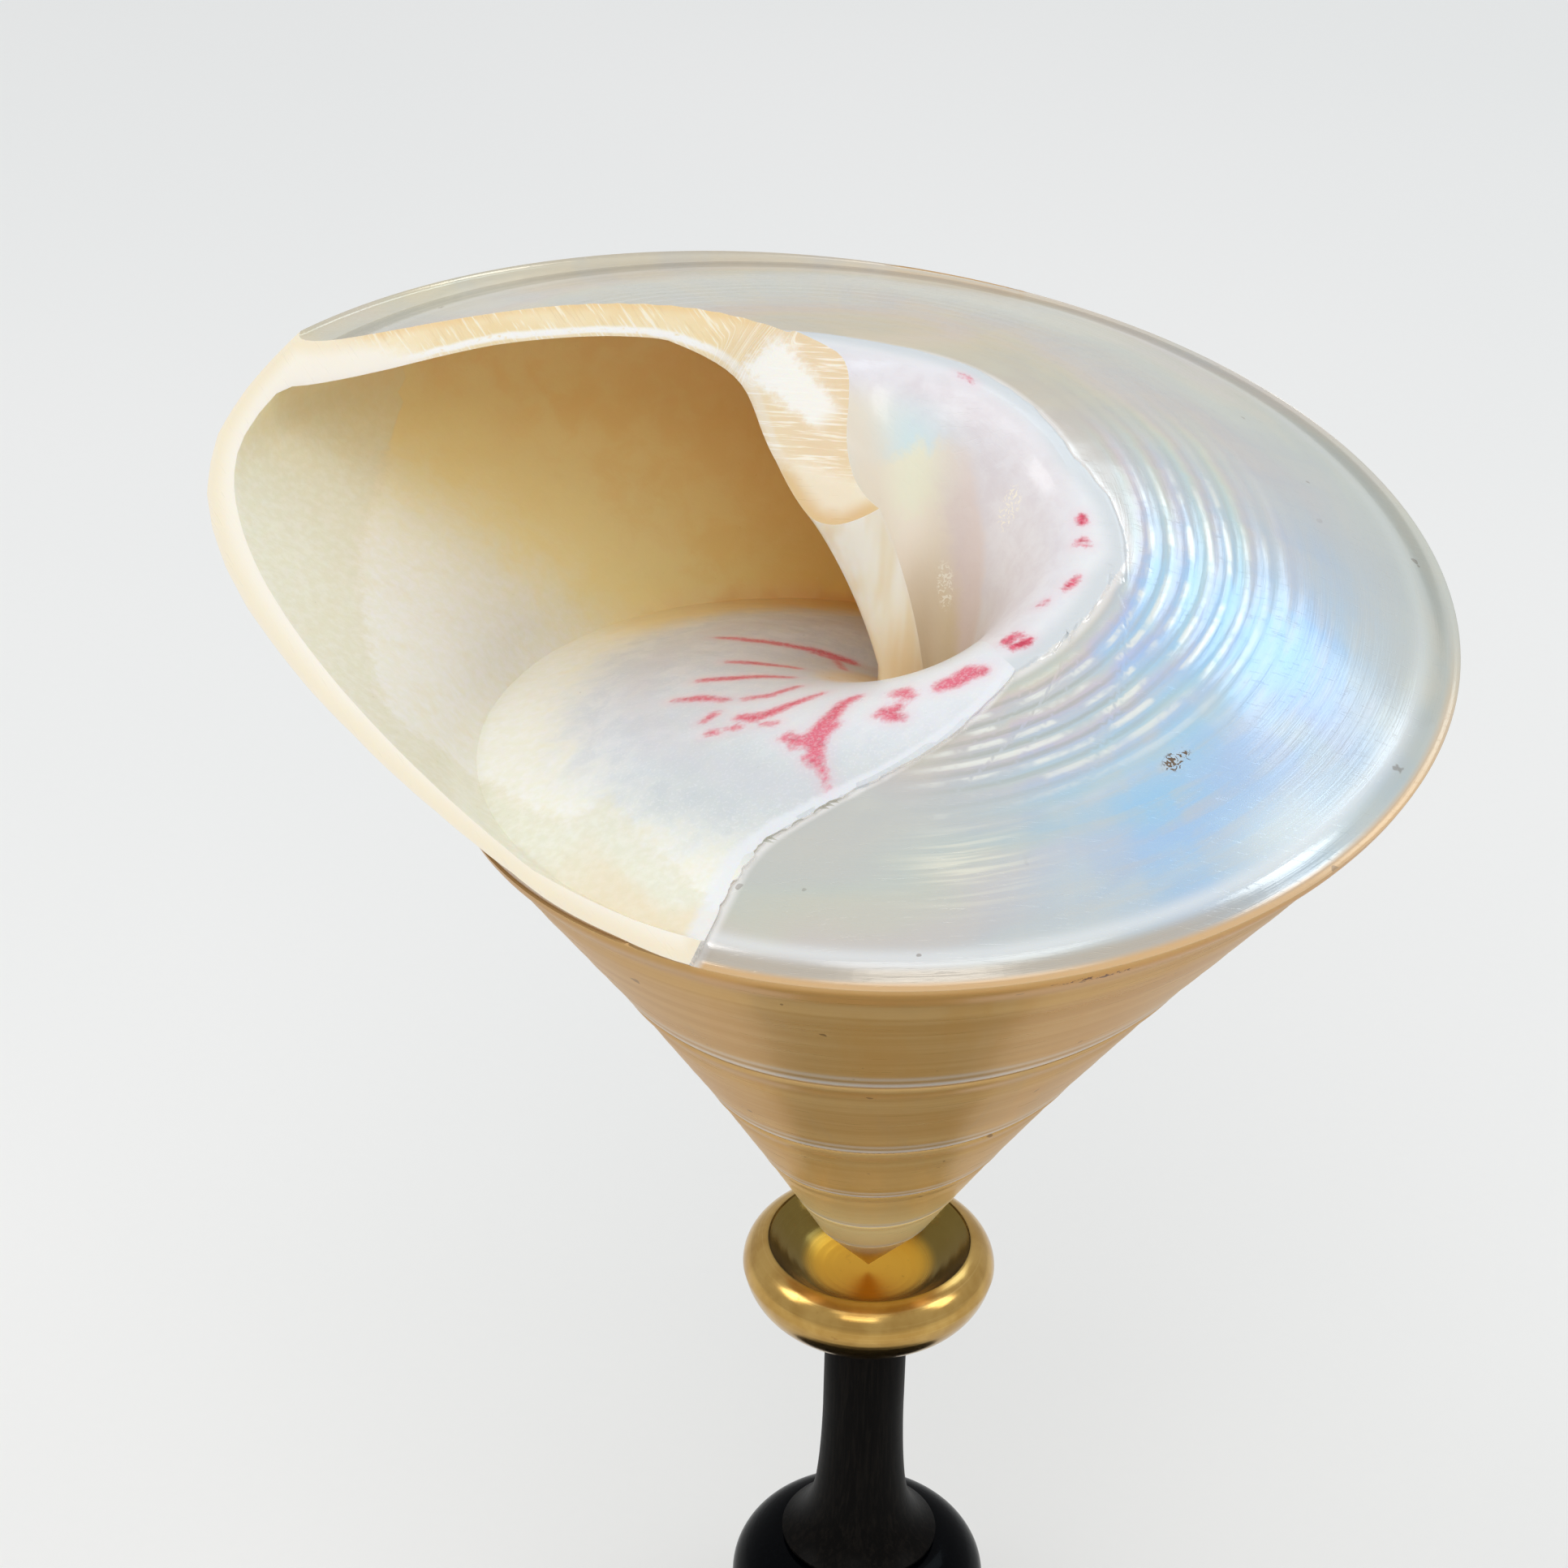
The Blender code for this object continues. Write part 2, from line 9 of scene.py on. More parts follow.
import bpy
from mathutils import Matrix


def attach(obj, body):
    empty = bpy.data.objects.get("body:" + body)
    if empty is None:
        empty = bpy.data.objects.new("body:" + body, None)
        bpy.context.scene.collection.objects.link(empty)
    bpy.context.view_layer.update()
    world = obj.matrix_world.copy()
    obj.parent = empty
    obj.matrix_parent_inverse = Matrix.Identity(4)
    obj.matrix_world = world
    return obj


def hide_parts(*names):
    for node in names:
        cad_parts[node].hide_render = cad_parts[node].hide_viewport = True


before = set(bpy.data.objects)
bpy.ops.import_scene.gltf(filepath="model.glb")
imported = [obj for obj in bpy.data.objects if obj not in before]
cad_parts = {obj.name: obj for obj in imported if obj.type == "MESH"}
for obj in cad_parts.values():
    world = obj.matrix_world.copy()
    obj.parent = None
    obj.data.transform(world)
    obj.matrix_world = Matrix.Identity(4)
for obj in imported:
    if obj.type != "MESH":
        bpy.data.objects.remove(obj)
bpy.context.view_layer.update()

import math

import bmesh
import bpy
import numpy as np
from mathutils import Matrix, Vector, noise
from mathutils.bvhtree import BVHTree
from mathutils.kdtree import KDTree

MM = 0.001
# ---------------------------------------------------------------- the shell's growth, as its solid
CUP_RIM_Z = 78.0
CUP_RIM_R = 8.8
CUP_BULGE_R = 5.33
CUP_BULGE_TUBE = 5.48
CUP_BULGE_DROP = 1.92
BOWL_DEPTH = 3.4
STEM_R = 3.55
STEM_TOP_Z = CUP_RIM_Z - 7.6
KNOP_TUBE_CENTRE_R = 6.31
KNOP_TUBE_R = 4.96
KNOP_Z = CUP_RIM_Z - 38.3
FLARE_R = 6.9
FOOT_R = 35.0
FOOT_EDGE_H = 5.0
FOOT_TOP_Z = 9.6
NECK_R = 5.2
GAP = 0.3

GROWTH = 0.0724    # radius grows by exp(GROWTH * angle)
RISE = 0.842    # height grows by exp(RISE * GROWTH * angle)
LIP_R = 53.54    # radius of the keel at the angle PI
LIP_H = 79.61    # its height over the apex point at the angle PI
APEX_Z = CUP_RIM_Z - 4.96
TIP_Z = CUP_RIM_Z - 3.0
TURNS_BELOW = 4.72      # whorls modelled under the last one
THETA_END = math.radians(248.0)      # last growth line of the keel
WHITE_SHIFT = math.radians(57.0)      # how much further the natural layer reaches near the axis
THETA_CAV = math.radians(-40.0)      # how deep the hollow goes
THETA_CAV_FULL = math.radians(25.0)
QUICKEN_R = 0.0018      # slow change of the growth from whorl to whorl
QUICKEN_Z = -0.0007
LEAN_X = 0.0122         # the shell's axis leans in its cup, in radians towards +X
LEAN_Y = -0.0364        # and towards +Y
LEAN_PIVOT = np.array([0.0, 0.0, CUP_RIM_Z - 3.0])
RIM_OUT = (0.0098, 0.047)     # widest point beyond the keel: young whorl, added at the lip
RIM_UP = (0.0137, -0.014)     # and its height over the keel
RIM_END = (0.9635, 0.0746)    # where the rounded rim meets the base
SIDE_SWELL = 0.0005
SIDE_WAIST = 0.0064
SIDE_BEAD = (0.006, 0.0616)
BELL = (0.0559, 0.7797, 0.1198)
FLARE_FROM = math.radians(69.9)
FLARE_TO = math.radians(168.9)
BAND_OUT = 0.368        # white band round the umbilicus, in parts of the whorl's radius
BAND_IN = 0.31
DOME = (0.0131, 0.2009, 1.073)    # step at the rim, rise and power of the base over the keel
DOME_LIP = (0.016, 0.026)     # how much flatter the base is at the grown lip
DOME_FROM = math.radians(60.0)
DOME_TO = math.radians(125.0)
LAYER = 0.3             # natural layer left standing on the polished base
POLE = np.array([2.82, 3.02])          # foot of the umbilical pit beside the columella
PIT_Z = CUP_RIM_Z + 52.5
PIT_R = 0.8
# the flat sawn through the outer lip and the columella
CUT_POINT = np.array([-14.03, -34.72, 51.88 + CUP_RIM_Z])
CUT_NORMAL = np.array([-0.204, -0.472, 0.857])
EASE_POINT = (-23.7, -28.3)          # line past which the sawn face eases up, and the way across it
EASE_ACROSS = (0.366, -0.931)
EASE_SLOPE = 0.21



def smooth(a, b, x):
    t = min(max((x - a) / (b - a), 0.0), 1.0)
    return t * t * (3.0 - 2.0 * t)


def keel_r(th):
    a = th - math.pi
    return LIP_R * math.exp(GROWTH * a + QUICKEN_R * (a / math.pi) ** 2)


def keel_z(th):
    a = th - math.pi
    return APEX_Z + LIP_H * math.exp(RISE * GROWTH * a + QUICKEN_Z * (a / math.pi) ** 2)


def flare(th):
    """0 on the younger whorls, 1 where the grown lip bells out."""
    return smooth(FLARE_FROM, FLARE_TO, th)


def rim_point(th):
    """Widest point of the whorl, beside the keel line."""
    f = flare(th)
    r, z = keel_r(th), keel_z(th)
    return r * (1.0 + RIM_OUT[0] + RIM_OUT[1] * f), z + r * (RIM_UP[0] + RIM_UP[1] * f)


def dome(rho, th):
    """Height of the base over the keel, in parts of the whorl's radius; the grown lip is flatter."""
    f = smooth(DOME_FROM, DOME_TO, th)
    x = min(max(1.0 - rho, 0.0) / (1.0 - BAND_IN), 1.0) ** DOME[2]
    return DOME[0] - DOME_LIP[0] * f + (DOME[1] - DOME_LIP[1] * f) * math.sin(0.5 * math.pi * x)


def side_point(th, u, plain=False):
    """Outer side of the whorl, from the suture (u = 0) to its widest point (u = 1)."""
    r0, z0 = rim_point(th - 2.0 * math.pi)
    r1, z1 = rim_point(th)
    f, r = flare(th), keel_r(th)
    swell = SIDE_SWELL * math.sin(math.pi * u)
    if not plain:
        swell -= SIDE_WAIST * math.exp(-((u - 0.82) / 0.06) ** 2)
        swell += SIDE_BEAD[0] * math.exp(-((u - 0.95) / SIDE_BEAD[1]) ** 2) * (1.0 - math.exp((u - 1.0) / 0.02))
    bell = BELL[2] * math.sin(math.pi * u) - BELL[0] * math.sin(2.0 * math.pi * u ** BELL[1])
    last = smooth(THETA_END - 0.2, THETA_END, th) if not plain else 0.0
    bell += (0.03 * math.sin(math.pi * u) - bell) * last
    return r0 + (r1 - r0) * u + r * ((1.0 - f) * swell + f * bell), z0 + (z1 - z0) * u


def rim_curve(th, t):
    """Rounded rim from the widest point (t = 0) onto the base (t = 1)."""
    r, z = keel_r(th), keel_z(th)
    rc = rim_end(th)
    x0, y0 = rim_point(th)
    x2, y2 = rc * r, z + r * dome(rc, th)
    slope = (dome(rc, th) - dome(rc + 0.01, th)) / 0.01
    x1, y1 = x0, y2 - slope * (x0 - x2)
    a, b, c = (1.0 - t) ** 2, 2.0 * t * (1.0 - t), t * t
    return a * x0 + b * x1 + c * x2, a * y0 + b * y1 + c * y2


def rim_end(th):
    return RIM_END[0] - RIM_END[1] * flare(th)


def funnel_power(th):
    return 0.95 - 0.23 * smooth(math.radians(60.0), math.radians(130.0), th)


def pole_distance(th):
    b = BAND_IN * keel_r(th)
    return math.hypot(b * math.cos(th) - POLE[0], b * math.sin(th) - POLE[1])


def funnel_height(th, q):
    """Height of the umbilical funnel; q is 1 at the band and 0 at the pit."""
    top = keel_z(th) + keel_r(th) * dome(BAND_IN, th)
    d = pole_distance(th)
    q0 = PIT_R / d
    s = max((q - q0) / (1.0 - q0), 0.0)
    return PIT_Z + (top - PIT_Z) * math.sin(0.5 * math.pi * s ** funnel_power(th))


def section(th, n_side, n_rim, n_dome, n_funnel):
    """Outer profile at one growth line as (h, z): h is the distance from the axis,
    and inside the band it goes on along the straight line to the pit's pole."""
    pts = [side_point(th, i / n_side, True) for i in range(n_side)]
    pts += [rim_curve(th, i / n_rim) for i in range(n_rim)]
    r, z, rc = keel_r(th), keel_z(th), rim_end(th)
    for i in range(n_dome):
        rho = rc + (BAND_IN - rc) * i / n_dome
        pts.append((rho * r, z + r * dome(rho, th)))
    d = pole_distance(th)
    for i in range(n_funnel + 1):
        q = 1.0 + (PIT_R / d - 1.0) * (i / n_funnel) ** 0.8
        pts.append((BAND_IN * r - (1.0 - q) * d, funnel_height(th, q)))
    return pts


def to_space(th, h, z):
    """Place a section point: radial outside the band, towards the pole inside it."""
    b = BAND_IN * keel_r(th)
    c, s = math.cos(th), math.sin(th)
    if h >= b:
        return (h * c, h * s, z)
    d = pole_distance(th)
    k = (b - h) / d
    return (b * c + k * (POLE[0] - b * c), b * s + k * (POLE[1] - b * s), z)


def lean(points):
    """Tip the shell about its apex; the formulas above are for an upright axis."""
    cx, sx, cy, sy = math.cos(LEAN_X), math.sin(LEAN_X), math.cos(LEAN_Y), math.sin(LEAN_Y)
    about_y = np.array([[cx, 0.0, sx], [0.0, 1.0, 0.0], [-sx, 0.0, cx]])
    about_x = np.array([[1.0, 0.0, 0.0], [0.0, cy, sy], [0.0, -sy, cy]])
    return (np.array(points) - LEAN_PIVOT) @ (about_x @ about_y).T + LEAN_PIVOT


def shift_at(rho):
    x = min(max((0.80 - rho) / (0.80 - BAND_OUT), 0.0), 1.0)
    return WHITE_SHIFT * x * x


def wall_thickness(part):
    """Wall thickness along the section; part runs 0 suture, 1 rim, 2 band, 3 pit."""
    marks = ((0.0, 1.0), (0.45, 1.7), (1.0, 2.7), (1.35, 2.2), (1.70, 2.3), (1.92, 3.6), (2.08, 5.6), (2.35, 5.6), (2.65, 4.2), (3.0, 3.0))
    for (a, ta), (b, tb) in zip(marks[:-1], marks[1:]):
        if part <= b:
            return ta + (tb - ta) * (part - a) / (b - a)
    return marks[-1][1]


def cross_point(p, q, r, t):
    """Crossing of the segments pq and rt, or None."""
    d = (q[0] - p[0]) * (t[1] - r[1]) - (q[1] - p[1]) * (t[0] - r[0])
    if abs(d) < 1e-12:
        return None
    u = ((r[0] - p[0]) * (t[1] - r[1]) - (r[1] - p[1]) * (t[0] - r[0])) / d
    v = ((r[0] - p[0]) * (q[1] - p[1]) - (r[1] - p[1]) * (q[0] - p[0])) / d
    if 0.0 <= u <= 1.0 and 0.0 <= v <= 1.0:
        return (p[0] + u * (q[0] - p[0]), p[1] + u * (q[1] - p[1]))
    return None


def without_loops(line):
    """Drop the small loops that an inward offset makes at a tight corner."""
    line = [tuple(p) for p in line]
    i = 0
    while i < len(line) - 3:
        for j in range(min(len(line) - 2, i + 40), i + 1, -1):
            c = cross_point(line[i], line[i + 1], line[j], line[j + 1])
            if c is not None:
                line = line[:i + 1] + [c] + line[j + 1:]
                break
        i += 1
    return np.array(line)


# ---------------------------------------------------------------- finer steps and relief
SEG = 200
N_SIDE = 24
N_RIM = 9
N_OUT = 84
N_STEP = 4
N_IN = 8
N_FUNNEL = 30
DEG = math.pi / 180.0
# where the natural layer ends on the band round the umbilicus: azimuth, part of the whorl's radius
EDGE = ((-55.0, 0.372), (-38.0, 0.374), (-16.0, 0.378), (-5.0, 0.397), (4.0, 0.387), (16.0, 0.368), (24.0, 0.350),
        (32.0, 0.336), (47.0, 0.342), (69.0, 0.344), (96.0, 0.346), (117.0, 0.366), (140.0, 0.368), (305.0, 0.372))
MARKS = [
    ((-14.7, 10.0, 0.21), (-11.7, 9.3, 0.50), (-8.7, 9.1, 0.43), (-6.1, 9.2, 0.50), (-3.9, 8.8, 0.64)),
    ((-7.1, 8.6, 0.21), (-5.1, 8.4, 0.29), (-4.4, 5.3, 0.21)),
    ((-13.4, 2.8, 0.29), (-11.7, 2.7, 0.43), (-9.8, 2.6, 0.36), (-8.0, 2.1, 0.29)),
    ((-15.4, -1.7, 0.36), (-13.1, -1.8, 0.50), (-10.6, -1.5, 0.43), (-8.4, -2.1, 0.29)),
    ((-17.3, -5.1, 0.21), (-15.4, -5.5, 0.50), (-13.2, -6.7, 0.29)),
    ((-11.7, -7.1, 0.29), (-9.8, -7.1, 0.36), (-7.8, -5.7, 0.29)),
    ((-14.8, -9.9, 0.21), (-14.0, -9.0, 0.36)),
    ((-14.4, -12.0, 0.21), (-14.0, -11.8, 0.36), (-13.6, -12.2, 0.21)),
    ((-12.7, -11.8, 0.21), (-12.1, -11.9, 0.36)),
    ((-12.0, -10.4, 0.43), (-10.8, -10.9, 0.64), (-9.6, -10.6, 0.57), (-8.2, -9.8, 0.43), (-6.7, -9.1, 0.36), (-5.9, -8.7, 0.21)),
    ((-10.2, -12.2, 0.21), (-9.3, -12.5, 0.29)),
    ((-3.2, -11.0, 0.36), (-4.2, -11.5, 0.50), (-5.1, -13.2, 0.64), (-5.9, -14.9, 0.86), (-6.2, -16.1, 0.86)),
    ((-6.2, -16.1, 0.71), (-7.6, -15.3, 0.50), (-8.5, -14.8, 0.36)),
    ((-8.2, -14.4, 0.29), (-7.7, -16.3, 0.29)),
    ((-6.2, -16.1, 0.79), (-5.7, -15.3, 0.64), (-4.7, -14.4, 0.36)),
    ((-6.1, -16.4, 0.64), (-6.0, -18.0, 0.57), (-5.7, -18.9, 0.36), (-5.3, -20.2, 0.21), (-5.1, -21.4, 0.14)),
    ((-6.8, -17.8, 0.29), (-6.4, -18.7, 0.21)),
    ((-0.4, -11.9, 0.43), (0.2, -12.0, 0.57), (0.7, -12.8, 0.43)),
    ((-1.6, -14.3, 0.36), (-1.1, -14.0, 0.57), (-0.6, -14.8, 0.64), (0.2, -15.3, 0.36)),
    ((-0.8, -14.6, 0.43), (-0.2, -13.9, 0.43)),
    ((3.0, -12.4, 0.64), (4.0, -12.2, 0.79), (4.9, -11.6, 0.86), (6.0, -11.7, 0.50)),
    ((7.6, -8.8, 0.36), (8.2, -8.5, 0.50), (8.7, -8.6, 0.36)),
    ((8.3, -9.7, 0.36), (9.1, -9.5, 0.50), (9.5, -9.2, 0.29)),
    ((10.2, -5.7, 0.21), (10.5, -5.6, 0.29), (10.7, -5.5, 0.21)),
    ((12.0, -4.7, 0.21), (12.5, -4.3, 0.36), (13.0, -3.7, 0.21)),
    ((13.3, 2.0, 0.36), (13.3, 1.7, 0.50)),
    ((12.9, -0.5, 0.21), (13.4, -0.2, 0.29), (13.8, -0.6, 0.21)),
    ((3.4, 13.9, 0.14), (4.1, 13.7, 0.29), (4.7, 13.3, 0.14)),
]
GROWTH_LINE = [(-43.0, 23.7, 139.2), (-43.6, 18.4, 138.0), (-43.9, 12.2, 137.0), (-43.4, 8.3, 136.3), (-42.7, 4.7, 135.8), (-41.3, -1.0, 135.1), (-39.7, -7.2, 134.9), (-37.5, -9.2, 133.8), (-34.5, -8.3, 131.2), (-30.8, -10.3, 130.0), (-29.0, -13.5, 130.7), (-26.4, -16.6, 131.5), (-24.2, -18.2, 132.4), (-22.3, -17.4, 133.2), (-21.5, -16.4, 133.7), (-20.3, -19.2, 133.8), (-19.0, -21.7, 133.8), (-16.9, -24.9, 133.9), (-14.8, -27.5, 133.9)]



def ripple(x, y, z=0.0):
    return noise.noise(Vector((x, y, z)))


def edge_rho(az):
    """Ragged edge of the natural layer round the umbilicus; az in radians from -55 to 305 degrees."""
    d = az / DEG
    base = float(np.interp(d, [e[0] for e in EDGE], [e[1] for e in EDGE]))
    chip = 0.010 * max(0.0, 1.0 - abs(d + 33.0) / 14.0) * (1.0 if ripple(d * 0.55, 3.1) > 0.05 else -0.4)
    notch = -0.013 * math.exp(-((d + 9.5) / 2.2) ** 2) + 0.006 * math.exp(-((d + 2.0) / 3.0) ** 2)
    return base + 0.0050 * ripple(d * 0.16, 7.7) + 0.0022 * ripple(d * 0.7, 1.3) + chip + notch


def wander(rho, r):
    """How far the layer's broken edge strays from the growth line, as an angle."""
    mm = 0.55 * ripple(rho * 17.0, 4.4) + 0.30 * ripple(rho * 46.0, 9.2) + 0.16 * ripple(rho * 110.0, 2.6)
    fade = smooth(0.375, 0.43, rho) * (1.0 - smooth(0.86, 0.90, rho))
    return fade * mm / (rho * r)


def groove_phase(rho, d):
    return (rho - 0.402) / 0.0355 + 0.22 * ripple(d * 0.03, rho * 6.0, 5.0)


def relief(rho, th):
    """Spiral grooves and slow waves of the polished base, in mm."""
    d = th / DEG
    phase = groove_phase(rho, d)
    across = smooth(0.395, 0.43, rho) * (1.0 - smooth(0.60, 0.76, rho))
    along = 0.45 + 0.55 * smooth(-95.0, -55.0, d) * (1.0 - smooth(30.0, 75.0, d))
    groove = -0.125 * across * along * (0.5 - 0.5 * math.cos(2.0 * math.pi * phase)) ** 0.8
    fine = -0.012 * smooth(0.42, 0.5, rho) * (0.5 - 0.5 * math.cos(2.0 * math.pi * phase * 3.0))
    waves = 0.050 * ripple(d * 0.055, rho * 3.0, 1.0) + 0.022 * ripple(d * 0.16, rho * 4.0, 8.0)
    return (groove + fine) * (1.0 - smooth(0.9, 0.96, rho)) + waves * (1.0 - smooth(0.93, 0.98, rho))


def fine_side(th, u):
    """Side of the whorl with its double suture line and a few soft spiral cords."""
    h, z = side_point(th, u)
    r = keel_r(th)
    last = 1.0 - smooth(THETA_END - 0.2, THETA_END, th)
    swell = 0.0030 * math.exp(-((u - 0.030) / 0.013) ** 2) - 0.0026 * math.exp(-(u / 0.010) ** 2)
    swell += 0.0018 * math.exp(-((u - 0.085) / 0.016) ** 2)
    swell += 0.0011 * math.sin(2.0 * math.pi * (u * 7.0)) * smooth(0.1, 0.2, u) * (1.0 - smooth(0.78, 0.88, u))
    swell += 0.0010 * ripple(th * 2.2, u * 2.0) * math.sin(math.pi * u)
    if u >= 1.0 or u <= 0.0:
        swell = 0.0
    return h + r * swell * last, z


def add_sheet(name, verts, faces, slots, names):
    """Mesh object from points in mm; each face carries the number of its surface."""
    mesh = bpy.data.meshes.new(name)
    mesh.from_pydata([(v[0] * MM, v[1] * MM, v[2] * MM) for v in verts], [], faces)
    for n in names:
        mesh.materials.append(bpy.data.materials.get(n) or bpy.data.materials.new(n))
    mesh.polygons.foreach_set("material_index", slots)
    bm = bmesh.new()
    bm.from_mesh(mesh)
    bmesh.ops.recalc_face_normals(bm, faces=bm.faces[:])
    bmesh.ops.triangulate(bm, faces=bm.faces[:])
    bm.to_mesh(mesh)
    obj = bpy.data.objects.new(name, mesh)
    bpy.context.scene.collection.objects.link(obj)
    skin = (BVHTree.FromBMesh(bm), [f.material_index for f in bm.faces])
    bm.free()
    return obj, skin


SURFACES = ["side", "base", "floor", "leg", "ceiling", "wall", "sawn"]


def fine_body():
    first = -int(round((TURNS_BELOW + 1.0) * SEG))
    step = 2.0 * math.pi / SEG
    thetas = [THETA_END + i * step for i in range(first, 1)]
    n = len(thetas)
    us = [0.5 - 0.5 * math.cos(math.pi * j / N_SIDE) for j in range(N_SIDE + 1)]
    us[-1] = 1.0
    verts, faces, slots, rows = [], [], [], []
    for i, th in enumerate(thetas):
        row = []
        for j in range(N_SIDE + 1):
            if j == 0 and i >= SEG:
                row.append(rows[i - SEG][N_SIDE])
                continue
            h, z = fine_side(th, us[j])
            row.append(len(verts))
            verts.append((h * math.cos(th), h * math.sin(th), z))
        rows.append(row)
    for i in range(n - 1):
        for j in range(N_SIDE):
            faces.append((rows[i][j], rows[i + 1][j], rows[i + 1][j + 1], rows[i][j + 1]))
            slots.append(0)
    tip = len(verts)
    verts.append((0.0, 0.0, TIP_Z))
    loop = [rows[0][j] for j in range(N_SIDE + 1)]
    loop += [rows[i][0] for i in range(SEG - 1, 0, -1)]
    for a, b in zip(loop, loop[1:] + loop[:1]):
        faces.append((a, b, tip))
        slots.append(0)
    # base: rim, polished part, the layer's edge, the band, the funnel
    total = N_RIM + N_OUT + N_STEP + N_IN + N_FUNNEL
    top = []
    for i in range(n - 1 - SEG, n):
        th0 = thetas[i]
        near = min(i - (n - 1 - SEG), n - 1 - i) * step / DEG
        stray = math.exp(-(near / 5.0) ** 2)
        line = [rows[i][N_SIDE]]
        rc = rim_end(th0)
        re = edge_rho(th0 + WHITE_SHIFT)
        for k in range(1, total + 1):
            if k < N_RIM:
                th = th0
                h, z = rim_curve(th, k / N_RIM)
            elif k <= N_RIM + N_OUT + N_STEP + N_IN:
                if k <= N_RIM + N_OUT:
                    rho = rc + (re + 0.0035 - rc) * (k - N_RIM) / N_OUT
                    up = 0.0
                elif k <= N_RIM + N_OUT + N_STEP:
                    t = (k - N_RIM - N_OUT) / N_STEP
                    rho = re + 0.0035 - 0.0070 * t
                    up = smooth(0.0, 1.0, t)
                else:
                    t = (k - N_RIM - N_OUT - N_STEP) / N_IN
                    rho = re - 0.0035 + (BAND_IN - re + 0.0035) * t
                    up = 1.0
                th = th0 + shift_at(rho)
                r = keel_r(th)
                z = keel_z(th) + r * dome(rho, th) + relief(rho, th) * (1.0 - up) + (LAYER - 0.02) * up
                th += wander(rho, r) * stray
                h = rho * r
            else:
                th = th0 + WHITE_SHIFT
                d = pole_distance(th)
                t = (k - total + N_FUNNEL) / N_FUNNEL
                q = 1.0 + (PIT_R / d - 1.0) * t ** 0.8
                h, z = BAND_IN * keel_r(th) - (1.0 - q) * d, funnel_height(th, q) + LAYER - 0.02
            if k == total:
                if i == n - 1:
                    line.append(top[0][-1])
                    continue
                p = (POLE[0] + PIT_R * math.cos(th), POLE[1] + PIT_R * math.sin(th), PIT_Z + LAYER - 0.02)
            else:
                p = to_space(th, h, z)
            line.append(len(verts))
            verts.append(p)
        top.append(line)
    for a, b in zip(top[:-1], top[1:]):
        for k in range(len(a) - 1):
            faces.append((a[k], b[k], a[k + 1]))
            faces.append((b[k], b[k + 1], a[k + 1]))
            slots += [1, 1]
    faces.append(tuple(line[-1] for line in top[:-1]))
    slots.append(1)
    low, high = top[0], rows[-1][:-1] + top[-1]
    i = j = 0
    while i < len(low) - 1 or j < len(high) - 1:
        fi, fj = i / (len(low) - 1), max(j - N_SIDE, 0) / (len(high) - 1 - N_SIDE)
        if j < len(high) - 1 and (fj <= fi or i == len(low) - 1):
            tri = (low[i], high[j], high[j + 1])
            j += 1
        else:
            tri = (low[i], high[j], low[i + 1])
            i += 1
        if len(set(tri)) == 3:
            faces.append(tri)
            slots.append(1)
    return add_sheet("shell_body", lean(verts), faces, slots, SURFACES)


def offset_section(th):
    ns, nr, nd, nf = 40, 16, 44, 44
    pts = np.array(section(th, ns, nr, nd, nf))
    parts = [i / ns for i in range(ns)] + [1.0 + 0.15 * i / nr for i in range(nr)]
    parts += [1.15 + 0.85 * i / nd for i in range(nd)] + [2.0 + i / nf for i in range(nf + 1)]
    tang = np.gradient(pts, axis=0)
    tang /= np.linalg.norm(tang, axis=1)[:, None]
    normal = np.stack([-tang[:, 1], tang[:, 0]], axis=1)
    thick = np.array([wall_thickness(p) for p in parts])
    out = without_loops(pts + normal * thick[:, None])
    top = int(np.argmax(out[:, 0]))
    return out[:top + 1], out[top:]


def resample(line, count):
    seg = np.linalg.norm(np.diff(line, axis=0), axis=1)
    s = np.concatenate([[0.0], np.cumsum(seg)])
    t = np.linspace(0.0, s[-1], count)
    return np.stack([np.interp(t, s, line[:, k]) for k in range(line.shape[1])], axis=1)


def eased(line, times):
    """Rounds off a line of points, keeping its ends."""
    line = line.copy()
    for _ in range(times):
        line[1:-1] = 0.25 * line[:-2] + 0.5 * line[1:-1] + 0.25 * line[2:]
    return line


def floor_point(th, x):
    t0 = th - 2.0 * math.pi
    r, z = keel_r(t0), keel_z(t0)
    if x < 0.6:
        rho = 0.955 + (BAND_IN - 0.955) * x / 0.6
        lumps = 0.05 * ripple(rho * 22.0, th * 9.0, 3.0) + 0.03 * ripple(rho * 60.0, th * 24.0, 6.0)
        return to_space(t0, rho * r, z + r * dome(rho, t0) + LAYER + lumps * smooth(0.36, 0.5, rho))
    q = 1.0 - (x - 0.6) / 0.4
    d = pole_distance(t0)
    return to_space(t0, BAND_IN * r - (1.0 - q) * d, funnel_height(t0, q) + LAYER)


